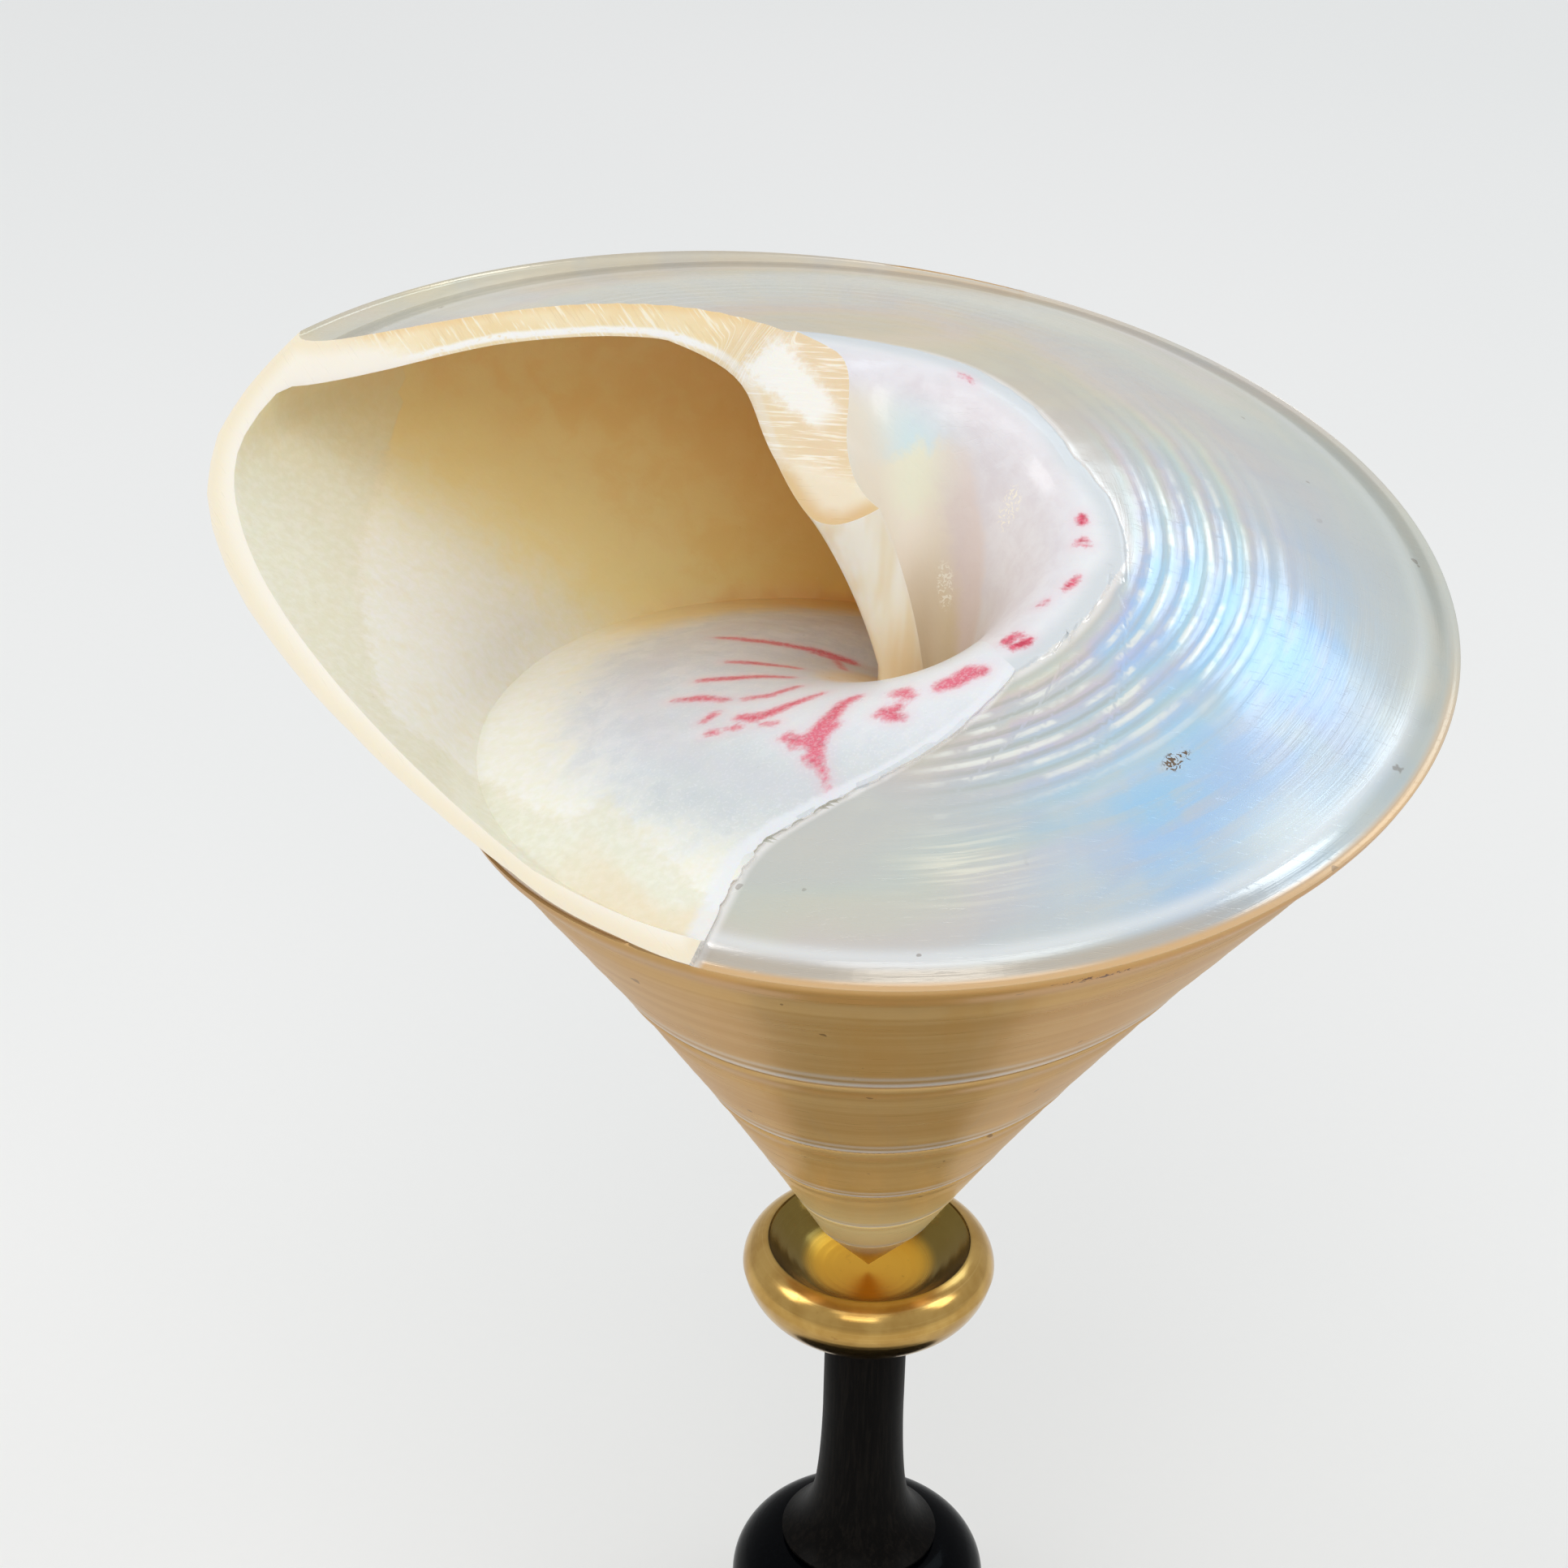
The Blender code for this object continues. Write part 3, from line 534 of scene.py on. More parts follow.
def hollow_ring(th, n_floor, n_leg, n_ceil, n_side):
    t0 = th - 2.0 * math.pi
    side, base = offset_section(th)
    band = BAND_IN * keel_r(th)
    h_pole = band - pole_distance(th)
    corner = band * 1.03
    ceil = base[base[:, 0] > corner]
    leg = base[base[:, 0] <= corner].copy()
    x = min(max((th - math.radians(188.0)) / math.radians(30.0), 0.0), 1.0)
    fade = 1.0 - math.sqrt(max(1.0 - x * x, 0.0))
    d = leg[:, 0] - h_pole
    w = np.clip((ceil[-1][1] - leg[:, 1]) / 14.0, 0.0, 1.0) ** 0.4
    past = smooth(math.radians(202.0), math.radians(220.0), th)
    w = w + (1.0 - w) * past
    d = d * (1.0 - fade * w) + (PIT_R * 0.5) * fade * w
    leg[:, 0] = h_pole + d
    leg[:, 1] += 5.0 * past * np.linspace(1.0, 0.0, len(leg))
    d0 = pole_distance(t0)
    keep = len(leg)
    for i in range(len(leg)):
        zf = funnel_height(t0, min(max(d[i], 0.05) / d0, 1.0)) + LAYER
        if leg[i][1] < zf + 0.6 or d[i] < 0.3:
            keep = i
            break
    leg = leg[:max(keep, 2)]
    d_foot = max(leg[-1][0] - h_pole - 0.05, 0.3)
    x_foot = 0.6 + 0.4 * (1.0 - min(d_foot / d0, 1.0))
    leg = resample(np.vstack([ceil[-1:], leg]), n_leg + 1)[1:]
    ceil = resample(ceil, n_ceil)
    bend = eased(np.vstack([ceil[-9:], leg[:7]]), 12)
    ceil[-9:], leg[:7] = bend[:9], bend[9:]
    z_out = floor_point(th, 0.0)[2] + 0.35
    side = resample(side[side[:, 1] > z_out], n_side)
    ring = [floor_point(th, x_foot * k / n_floor) for k in range(n_floor + 1)]
    ring += [to_space(th, *p) for p in leg[::-1]]
    ring += [to_space(th, *p) for p in ceil[::-1]]
    ring += [to_space(th, *p) for p in side[-2::-1]]
    ring = np.array(ring)
    grow = smooth(THETA_CAV - 0.25, THETA_CAV_FULL, th)
    if grow < 1.0:
        mid = ring.mean(axis=0)
        ring = mid + (ring - mid) * math.sqrt(grow)
    return ring


def fine_hollow():
    end = THETA_END + WHITE_SHIFT + 16.0 * DEG
    ths = list(np.arange(THETA_CAV, 80.0 * DEG, 3.0 * DEG)) + list(np.arange(80.0 * DEG, 262.0 * DEG, 1.35 * DEG))
    ths += list(np.linspace(262.0 * DEG, end, 26))
    nf, nl, nc, ns = 72, 26, 34, 30
    rings = [hollow_ring(th, nf, nl, nc, ns) for th in ths]
    verts, faces, slots = [], [], []
    m = len(rings[0])
    for ring in rings:
        verts += [tuple(p) for p in ring]
    kinds = [2] * nf + [3] * nl + [4] * nc + [5] * (m - nf - nl - nc)
    for i in range(len(rings) - 1):
        for k in range(m):
            a, b = i * m + k, i * m + (k + 1) % m
            faces.append((a, b, b + m, a + m))
            slots.append(kinds[k])
    for base in (0, (len(rings) - 1) * m):
        faces.append(tuple(base + k for k in range(m)))
        slots.append(5)
    return add_sheet("hollow_cutter", lean(verts), faces, slots, SURFACES)


def saw_height(x, y):
    n, p = CUT_NORMAL, CUT_POINT
    z = p[2] - (n[0] * (x - p[0]) + n[1] * (y - p[1])) / n[2]
    d = (x - EASE_POINT[0]) * EASE_ACROSS[0] + (y - EASE_POINT[1]) * EASE_ACROSS[1]
    return z + EASE_SLOPE * max(d, 0.0)


def fine_saw():
    """The sawn face as a fine grid, so that its own surface can be shaded, closed to a block above."""
    ax, ay = EASE_ACROSS
    al = np.arange(-100.0, 100.1, 1.25)
    ac = np.concatenate([np.arange(-90.0, 0.0, 1.25), np.arange(0.0, 60.1, 1.25)])
    verts, faces, slots = [], [], []
    na, nc = len(al), len(ac)
    for high in (False, True):
        for a in al:
            for c in ac:
                x = EASE_POINT[0] - ay * a + ax * c
                y = EASE_POINT[1] + ax * a + ay * c
                chatter = 0.035 * ripple(x * 0.35, y * 0.35, 2.0) + 0.03 * ripple(x * 0.9, y * 0.9, 7.0)
                verts.append((x, y, CUP_RIM_Z + 300.0 if high else saw_height(x, y) + chatter))
            if high and a == al[0]:
                pass
    half = na * nc
    for i in range(na - 1):
        for j in range(nc - 1):
            k = i * nc + j
            faces.append((k, k + 1, k + nc + 1))
            faces.append((k, k + nc + 1, k + nc))
            slots += [6, 6]
    rim = [j for j in range(nc)] + [i * nc + nc - 1 for i in range(1, na)]
    rim += [(na - 1) * nc + j for j in range(nc - 2, -1, -1)] + [i * nc for i in range(na - 2, 0, -1)]
    lid = [verts[k + half] for k in rim]
    verts = verts[:half] + lid
    for q in range(len(rim)):
        a, b = rim[q], rim[(q + 1) % len(rim)]
        faces.append((a, b, half + (q + 1) % len(rim), half + q))
        slots.append(6)
    faces.append(tuple(half + q for q in range(len(rim))))
    slots.append(6)
    return add_sheet("saw_cutter", verts, faces, slots, SURFACES)


def cut_shell():
    (body, body_skin), (hollow, hollow_skin), (saw, saw_skin) = fine_body(), fine_hollow(), fine_saw()
    for cutter in (hollow, saw):
        mod = body.modifiers.new(cutter.name, 'BOOLEAN')
        mod.operation = 'DIFFERENCE'
        mod.solver = 'MANIFOLD'
        mod.object = cutter
    dg = bpy.context.evaluated_depsgraph_get()
    mesh = bpy.data.meshes.new_from_object(body.evaluated_get(dg))
    for o in (body, hollow, saw):
        old = o.data
        bpy.data.objects.remove(o, do_unlink=True)
        bpy.data.meshes.remove(old)
    bm = bmesh.new()
    bm.from_mesh(mesh)
    bmesh.ops.triangulate(bm, faces=[f for f in bm.faces if len(f.verts) > 4])
    bmesh.ops.dissolve_degenerate(bm, dist=0.000004, edges=bm.edges[:])
    bmesh.ops.triangulate(bm, faces=bm.faces[:])
    # each face belongs to the surface that it lies on
    for f in bm.faces:
        c = f.calc_center_median()
        best, kind = 1.0, 0
        for tree, kinds in (hollow_skin, saw_skin, body_skin):
            hit = tree.find_nearest(c, 0.0001)
            if hit[2] is not None and hit[3] < best - 2e-7:
                best, kind = hit[3], kinds[hit[2]]
        f.material_index = kind
    bm.to_mesh(mesh)
    bm.free()
    for n in SURFACES:
        if n not in mesh.materials:
            mesh.materials.append(bpy.data.materials[n])
    mesh.name = "polished_shell"
    obj = bpy.data.objects.new("polished_shell", mesh)
    bpy.context.scene.collection.objects.link(obj)
    return obj


# ---------------------------------------------------------------- where every point lies on the shell
def about_axis():
    cx, sx, cy, sy = math.cos(LEAN_X), math.sin(LEAN_X), math.cos(LEAN_Y), math.sin(LEAN_Y)
    about_y = np.array([[cx, 0.0, sx], [0.0, 1.0, 0.0], [-sx, 0.0, cx]])
    about_x = np.array([[1.0, 0.0, 0.0], [0.0, cy, sy], [0.0, -sy, cy]])
    return about_x @ about_y


def v_keel_r(th):
    a = th - math.pi
    return LIP_R * np.exp(GROWTH * a + QUICKEN_R * (a / math.pi) ** 2)


def v_keel_z(th):
    a = th - math.pi
    return APEX_Z + LIP_H * np.exp(RISE * GROWTH * a + QUICKEN_Z * (a / math.pi) ** 2)


def v_smooth(a, b, x):
    t = np.clip((x - a) / (b - a), 0.0, 1.0)
    return t * t * (3.0 - 2.0 * t)


def v_rim_z(th):
    r = v_keel_r(th)
    return v_keel_z(th) + r * (RIM_UP[0] + RIM_UP[1] * v_smooth(FLARE_FROM, FLARE_TO, th))


def v_dome(rho, th):
    f = v_smooth(DOME_FROM, DOME_TO, th)
    x = np.clip((1.0 - rho) / (1.0 - BAND_IN), 0.0, 1.0) ** DOME[2]
    return DOME[0] - DOME_LIP[0] * f + (DOME[1] - DOME_LIP[1] * f) * np.sin(0.5 * math.pi * x)


def v_shift(rho):
    x = np.clip((0.80 - rho) / (0.80 - BAND_OUT), 0.0, 1.0)
    return WHITE_SHIFT * x * x


def wrap(a):
    return (a + math.pi) % (2.0 * math.pi) - math.pi


def stroke_distance(x, y, strokes):
    """Signed distance in mm to the nearest tapered stroke, positive inside it."""
    best = np.full(len(x), -9.0)
    for s in strokes:
        for (x0, y0, w0), (x1, y1, w1) in zip(s[:-1], s[1:]):
            dx, dy = x1 - x0, y1 - y0
            t = np.clip(((x - x0) * dx + (y - y0) * dy) / (dx * dx + dy * dy + 1e-9), 0.0, 1.0)
            d = (w0 + (w1 - w0) * t) - np.hypot(x - x0 - t * dx, y - y0 - t * dy)
            best = np.maximum(best, d)
    return best


def line_side(x, y, line):
    """Signed distance in mm to a line in plan; positive on its left-hand side."""
    best = np.full(len(x), 1e9)
    out = np.full(len(x), 99.0)
    for p, q in zip(line[:-1], line[1:]):
        dx, dy = q[0] - p[0], q[1] - p[1]
        t = np.clip(((x - p[0]) * dx + (y - p[1]) * dy) / (dx * dx + dy * dy + 1e-9), 0.0, 1.0)
        ex, ey = x - p[0] - t * dx, y - p[1] - t * dy
        d = np.hypot(ex, ey)
        side = np.sign(dx * (y - p[1]) - dy * (x - p[0]))
        near = d < best
        best = np.where(near, d, best)
        out = np.where(near, d * side, out)
    return out


def mark_places(obj):
    """Writes the shell's own coordinates on every face corner: whorl angle, place across the
    whorl, distances to the layer's edge, the marks, the growth line and the sawn edges."""
    mesh = obj.data
    nv, nl, nf = len(mesh.vertices), len(mesh.loops), len(mesh.polygons)
    co = np.empty(nv * 3); mesh.vertices.foreach_get("co", co); co = co.reshape(-1, 3) / MM
    lv = np.empty(nl, dtype=np.int64); mesh.loops.foreach_get("vertex_index", lv)
    start = np.empty(nf, dtype=np.int64); mesh.polygons.foreach_get("loop_start", start)
    count = np.empty(nf, dtype=np.int64); mesh.polygons.foreach_get("loop_total", count)
    slot = np.empty(nf, dtype=np.int64); mesh.polygons.foreach_get("material_index", slot)
    lf = np.repeat(np.arange(nf), count)
    own = (co - LEAN_PIVOT) @ about_axis() + LEAN_PIVOT
    P = own[lv]
    F = np.add.reduceat(P, start, axis=0) / count[:, None]
    x, y, z = P[:, 0], P[:, 1], P[:, 2]
    phi, h = np.arctan2(y, x), np.hypot(x, y)
    fphi, fh, fz = np.arctan2(F[:, 1], F[:, 0]), np.hypot(F[:, 0], F[:, 1]), F[:, 2]
    m = slot[lf]

    # last whorl's angle for the base
    rho_f = fh / v_keel_r(THETA_END - 2.0 * math.pi + (fphi - THETA_END) % (2.0 * math.pi))
    for _ in range(3):
        edge = THETA_END - 2.0 * math.pi + v_shift(rho_f)
        th_f = edge + (fphi - edge) % (2.0 * math.pi)
        rho_f = fh / v_keel_r(th_f)
    th_top = th_f[lf] + wrap(phi - th_f[lf])
    rho_top = h / v_keel_r(th_top)
    edge_c = THETA_END - 2.0 * math.pi + v_shift(rho_top)
    az_c = (phi / DEG + 55.0) % 360.0 - 55.0
    re_c = np.interp(az_c, [e[0] for e in EDGE], [e[1] for e in EDGE])
    to_line = (th_top - edge_c) * h
    outside = np.minimum((rho_top - re_c) * v_keel_r(th_top), to_line)
    layer = np.where(rho_top < re_c, (re_c - rho_top) * v_keel_r(th_top), -outside)

    # whorl and place on it for the sides
    th0 = THETA_END - 2.0 * math.pi + (fphi - THETA_END) % (2.0 * math.pi)
    th_s = th0.copy()
    for k in range(7):
        t = th0 - 2.0 * math.pi * k
        hit = fz <= v_rim_z(t) + 0.02
        th_s = np.where(hit, t, th_s)
    th_side = th_s[lf] + wrap(phi - th_s[lf])
    z0, z1 = v_rim_z(th_side - 2.0 * math.pi), v_rim_z(th_side)
    u = np.clip((z - z0) / (z1 - z0), 0.0, 1.0)

    # the hollow
    th_h = THETA_CAV + (phi - THETA_CAV) % (2.0 * math.pi)
    t0 = th_h - 2.0 * math.pi
    rho_h = h / v_keel_r(t0)
    floor = v_keel_z(t0) + v_keel_r(t0) * v_dome(rho_h, t0) + LAYER
    above = np.where(m == 2, 0.0, np.maximum(z - floor, 0.0))
    edge_h = THETA_END - 2.0 * math.pi + v_shift(rho_h)
    d_line = ((edge_h - phi) % (2.0 * math.pi)) * h

    side, top, hollow, sawn = m == 0, m == 1, (m >= 2) & (m <= 5), m == 6
    out = {}
    out["whorl"] = np.where(side, th_side, np.where(top, th_top, th_h))
    out["across"] = np.where(side, u, np.where(top, rho_top, np.where(hollow, rho_h, 0.0)))
    out["layer"] = np.where(side, -9.0, np.where(top, layer, np.where(hollow, np.minimum(d_line, 30.0), 9.0)))
    out["above"] = np.where(hollow, above, 0.0)
    marks = stroke_distance(x, y, MARKS)
    turn_deg = phi / DEG
    ok = (m == 2) | (top & (rho_top < re_c + 0.01) & (turn_deg > -130.0) & (turn_deg < 87.0))
    out["marks"] = np.where(ok, marks, -9.0)
    gl = line_side(x, y, GROWTH_LINE)
    out["lip"] = np.where(hollow, gl, 0.0)
    out["leg"] = np.where(m == 3, 1.0, 0.0)
    crest = np.zeros(nv)
    at = np.full(nv, -1, dtype=np.int64)
    at[lv[top]] = np.nonzero(top)[0]
    for i in np.nonzero(at >= 0)[0]:
        q = at[i]
        if 0.39 < rho_top[q] < 0.95:
            crest[i] = math.cos(2.0 * math.pi * groove_phase(rho_top[q], th_top[q] / DEG))
    out["crest"] = np.where(top, crest[lv], 0.0)
    out["own_z"] = z - CUP_RIM_Z
    out["azimuth"] = phi
    out["radius"] = h

    # distances across the sawn face
    near = {}
    for name, kinds in (("to_hollow", (2, 3, 4, 5)), ("to_outside", (0, 1))):
        has = np.zeros(nv, dtype=bool); has[lv[np.isin(m, kinds)]] = True
        cut = np.zeros(nv, dtype=bool); cut[lv[sawn]] = True
        ids = np.nonzero(has & cut)[0]
        tree = KDTree(len(ids))
        for i in ids:
            tree.insert(Vector(co[i]), int(i))
        tree.balance()
        dist = np.full(nv, 9.0)
        for i in np.nonzero(cut)[0]:
            dist[i] = tree.find(Vector(co[i]))[2]
        near[name] = dist
    out["to_hollow"] = np.where(sawn, near["to_hollow"][lv], 9.0)
    out["to_outside"] = np.where(sawn, near["to_outside"][lv], 9.0)
    for name, values in out.items():
        a = mesh.attributes.new(name, 'FLOAT', 'CORNER')
        a.data.foreach_set("value", np.ascontiguousarray(values, dtype=np.float32))

    # one material each for the sides, the base, the hollow and the sawn face
    final = np.select([slot == 0, slot == 1, slot == 6], [0, 1, 3], 2)
    # crisp edges where the saw and the polish meet the other surfaces
    mesh.shade_smooth()
    group = np.select([slot == 0, slot == 1, slot == 6], [0, 0, 3], 2)
    ev = np.empty(nl, dtype=np.int64); mesh.loops.foreach_get("edge_index", ev)
    lo = np.full(len(mesh.edges), 99); hi = np.full(len(mesh.edges), -1)
    np.minimum.at(lo, ev, group[lf]); np.maximum.at(hi, ev, group[lf])
    sharp = np.zeros(len(mesh.edges), dtype=bool)
    mesh.set_sharp_from_angle(angle=55.0 * DEG)
    se = mesh.attributes.get("sharp_edge")
    if se is not None:
        se.data.foreach_get("value", sharp)
    sharp |= (lo != hi)
    if se is None:
        se = mesh.attributes.new("sharp_edge", 'BOOLEAN', 'EDGE')
    se.data.foreach_set("value", sharp)
    return final


# ---------------------------------------------------------------- stand
def turned(name, profile, steps):
    mesh = bpy.data.meshes.new(name)
    bm = bmesh.new()
    vs = [bm.verts.new((r * MM, 0.0, z * MM)) for r, z in profile]
    for a, b in zip(vs[:-1], vs[1:]):
        bm.edges.new((a, b))
    bm.to_mesh(mesh)
    bm.free()
    obj = bpy.data.objects.new(name, mesh)
    bpy.context.scene.collection.objects.link(obj)
    mod = obj.modifiers.new("turn", 'SCREW')
    mod.axis = 'Z'
    mod.angle = 2.0 * math.pi
    mod.steps = steps
    mod.render_steps = steps
    mod.use_merge_vertices = True
    mod.merge_threshold = 0.00001
    mod.use_smooth_shade = True
    dg = bpy.context.evaluated_depsgraph_get()
    final = bpy.data.meshes.new_from_object(obj.evaluated_get(dg))
    obj.modifiers.clear()
    obj.data = final
    final.name = name
    final.shade_smooth()
    final.set_sharp_from_angle(angle=40.0 * DEG)
    return obj


def arc(cr, cz, radius, a0, a1, count):
    return [(cr + radius * math.cos(math.radians(a0 + (a1 - a0) * i / count)),
             cz + radius * math.sin(math.radians(a0 + (a1 - a0) * i / count))) for i in range(count + 1)]


def cup_profile():
    cz = CUP_RIM_Z - CUP_BULGE_DROP
    pts = [(0.0, CUP_RIM_Z - BOWL_DEPTH)]
    for i in range(1, 36):
        x = i / 36.0
        turned_line = 0.012 * math.sin(x * 70.0) * smooth(0.2, 0.4, x)
        pts.append((CUP_RIM_R * x, CUP_RIM_Z - BOWL_DEPTH * (1.0 - x ** 3.2) + turned_line - 0.02))
    pts += [(CUP_RIM_R - 0.20, CUP_RIM_Z - 0.26)]
    lip = 2.70
    pts += arc(CUP_BULGE_R + CUP_BULGE_TUBE - lip, CUP_RIM_Z - lip, lip, 78.0, 2.0, 36)
    ring = arc(CUP_BULGE_R, cz, CUP_BULGE_TUBE, -12.0, -84.0, 44)
    pts += ring
    pts += [(STEM_R + 0.9, CUP_RIM_Z - 7.3), (0.0, CUP_RIM_Z - 7.3)]
    return pts


def stem_profile():
    z1 = KNOP_Z + KNOP_TUBE_R + GAP
    pts = [(0.0, STEM_TOP_Z), (STEM_R - 0.15, STEM_TOP_Z), (STEM_R - 0.04, STEM_TOP_Z - 0.06), (STEM_R, STEM_TOP_Z - 0.2)]
    pts += [(STEM_R, CUP_RIM_Z - 18.0)]
    for i in range(1, 61):
        x = i / 60.0
        z = CUP_RIM_Z - 18.0 + (z1 + 0.35 - (CUP_RIM_Z - 18.0)) * x
        pts.append((STEM_R + (FLARE_R - STEM_R) * (0.30 * x ** 2.0 + 0.70 * x ** 8.0) - 0.004, z))
    pts += [(FLARE_R - 0.02, z1 + 0.1), (FLARE_R - 0.1, z1), (0.0, z1)]
    return pts


def knop_profile():
    pts = [(0.0, KNOP_Z + KNOP_TUBE_R)]
    pts += arc(KNOP_TUBE_CENTRE_R, KNOP_Z, KNOP_TUBE_R, 90.0, -90.0, 64)
    pts += [(0.0, KNOP_Z - KNOP_TUBE_R)]
    return pts


def foot_profile():
    top = KNOP_Z - KNOP_TUBE_R - GAP
    pts = [(0.0, top), (NECK_R + 1.25, top)]
    pts += arc(NECK_R + 1.05, top - 0.55, 0.55, 80.0, -80.0, 12)
    pts += [(NECK_R + 0.6, top - 1.25), (NECK_R + 0.28, top - 1.5)]
    r_end = FOOT_R - 4.0
    for i in range(1, 73):
        a = math.radians(90.0 * i / 72.0)
        r = r_end - (r_end - NECK_R) * math.cos(a) ** 0.62 if i < 72 else r_end
        pts.append((r, top - 1.7 + (FOOT_TOP_Z - top + 1.7) * math.sin(a) ** 0.62 - 0.02))
    # a fine turned line where the slope meets the edge moulding
    pts += [(r_end + 0.25, FOOT_TOP_Z - 0.22), (r_end + 0.5, FOOT_TOP_Z - 0.26), (r_end + 0.75, FOOT_TOP_Z - 0.40)]
    pts += arc(FOOT_R - 3.0, FOOT_EDGE_H + 1.0, 3.0, 70.0, -20.0, 24)
    pts += [(FOOT_R - 0.5, 1.4), (FOOT_R - 0.9, 0.6), (FOOT_R - 1.3, 0.15), (FOOT_R - 1.6, 0.0), (0.0, 0.0)]
    return pts


# ---------------------------------------------------------------- finishes
def srgb(r, g, b):
    return tuple(c / 12.92 if c <= 0.04045 else ((c + 0.055) / 1.055) ** 2.4 for c in (r / 255.0, g / 255.0, b / 255.0)) + (1.0,)


class Finish:
    """Small helper that strings shader nodes together."""

    def __init__(self, name):
        self.mat = bpy.data.materials.get(name) or bpy.data.materials.new(name)
        self.mat.use_nodes = True
        self.tree = self.mat.node_tree
        self.tree.nodes.clear()
        self.out = self.tree.nodes.new("ShaderNodeOutputMaterial")
        self.bsdf = self.tree.nodes.new("ShaderNodeBsdfPrincipled")
        self.tree.links.new(self.bsdf.outputs[0], self.out.inputs[0])
        self.known = {}

    def put(self, socket, value):
        if isinstance(value, bpy.types.NodeSocket):
            self.tree.links.new(value, socket)
        else:
            socket.default_value = value

    def set(self, **values):
        for k, v in values.items():
            self.put(self.bsdf.inputs[k.replace("_", " ")], v)

    def attr(self, name):
        if name not in self.known:
            n = self.tree.nodes.new("ShaderNodeAttribute")
            n.attribute_name = name
            self.known[name] = n.outputs["Fac"]
        return self.known[name]

    def place(self):
        if "place" not in self.known:
            n = self.tree.nodes.new("ShaderNodeTexCoord")
            s = self.tree.nodes.new("ShaderNodeVectorMath")
            s.operation = 'SCALE'
            self.tree.links.new(n.outputs["Object"], s.inputs[0])
            s.inputs[3].default_value = 1000.0
            self.known["place"] = s.outputs[0]
        return self.known["place"]

    def m(self, op, a, b=0.0, c=0.0, clamp=False):
        n = self.tree.nodes.new("ShaderNodeMath")
        n.operation = op
        n.use_clamp = clamp
        for s, v in zip(n.inputs, (a, b, c)):
            self.put(s, v)
        return n.outputs[0]

    def add(self, *xs):
        t = xs[0]
        for x in xs[1:]:
            t = self.m('ADD', t, x)
        return t

    def mul(self, *xs):
        t = xs[0]
        for x in xs[1:]:
            t = self.m('MULTIPLY', t, x)
        return t

    def step(self, x, lo, hi):
        """Smooth 0 to 1 as x goes from lo to hi (either way round)."""
        n = self.tree.nodes.new("ShaderNodeMapRange")
        n.interpolation_type = 'SMOOTHSTEP'
        flip = lo > hi
        a, b = (hi, lo) if flip else (lo, hi)
        self.put(n.inputs[0], x)
        n.inputs[1].default_value = a
        n.inputs[2].default_value = b
        n.inputs[3].default_value = 1.0 if flip else 0.0
        n.inputs[4].default_value = 0.0 if flip else 1.0
        return n.outputs[0]

    def hump(self, x, centre, width):
        d = self.m('DIVIDE', self.m('SUBTRACT', x, centre), width)
        return self.m('POWER', math.e, self.m('MULTIPLY', self.mul(d, d), -1.0))

    def mix(self, f, a, b, mode='MIX'):
        n = self.tree.nodes.new("ShaderNodeMix")
        n.data_type = 'RGBA'
        n.blend_type = mode
        n.clamp_factor = True
        self.put(n.inputs[0], f)
        self.put(n.inputs[6], a)
        self.put(n.inputs[7], b)
        return n.outputs[2]

    def vec(self, x, y, z=0.0):
        n = self.tree.nodes.new("ShaderNodeCombineXYZ")
        for s, v in zip(n.inputs, (x, y, z)):
            self.put(s, v)
        return n.outputs[0]

    def split(self, v):
        n = self.tree.nodes.new("ShaderNodeSeparateXYZ")
        self.tree.links.new(v, n.inputs[0])
        return n.outputs

    def stretch(self, v, x, y, z):
        n = self.tree.nodes.new("ShaderNodeVectorMath")
        n.operation = 'MULTIPLY'
        self.tree.links.new(v, n.inputs[0])
        n.inputs[1].default_value = (x, y, z)
        return n.outputs[0]

    def noise(self, v, scale=1.0, detail=2.0, rough=0.5, twist=0.0):
        n = self.tree.nodes.new("ShaderNodeTexNoise")
        self.tree.links.new(v, n.inputs["Vector"])
        n.inputs["Scale"].default_value = scale
        n.inputs["Detail"].default_value = detail
        n.inputs["Roughness"].default_value = rough
        n.inputs["Distortion"].default_value = twist
        return n.outputs[0]

    def ramp(self, x, stops, kind='LINEAR'):
        n = self.tree.nodes.new("ShaderNodeValToRGB")
        self.put(n.inputs[0], x)
        r = n.color_ramp
        r.interpolation = kind
        while len(r.elements) < len(stops):
            r.elements.new(0.5)
        for e, (p, c) in zip(r.elements, stops):
            e.position = p
            e.color = c
        return n.outputs[0]

    def bump(self, height, mm, strength=1.0, below=None):
        n = self.tree.nodes.new("ShaderNodeBump")
        n.inputs["Strength"].default_value = strength
        n.inputs["Distance"].default_value = mm * MM
        self.put(n.inputs["Height"], height)
        if below is not None:
            self.tree.links.new(below, n.inputs["Normal"])
        return n.outputs[0]


PINK = srgb(232, 84, 116)
DEEP_PINK = srgb(204, 30, 74)


def iridescence(f, x):
    """Nacre's run of hues as a ramp over x."""
    return f.ramp(x, [(0.0, srgb(214, 226, 244)), (0.16, srgb(190, 222, 246)), (0.30, srgb(196, 238, 240)), (0.42, srgb(232, 240, 214)),
                      (0.52, srgb(246, 230, 214)), (0.64, srgb(244, 208, 226)), (0.78, srgb(212, 202, 244)), (0.90, srgb(196, 214, 248)),
                      (1.0, srgb(214, 226, 244))])


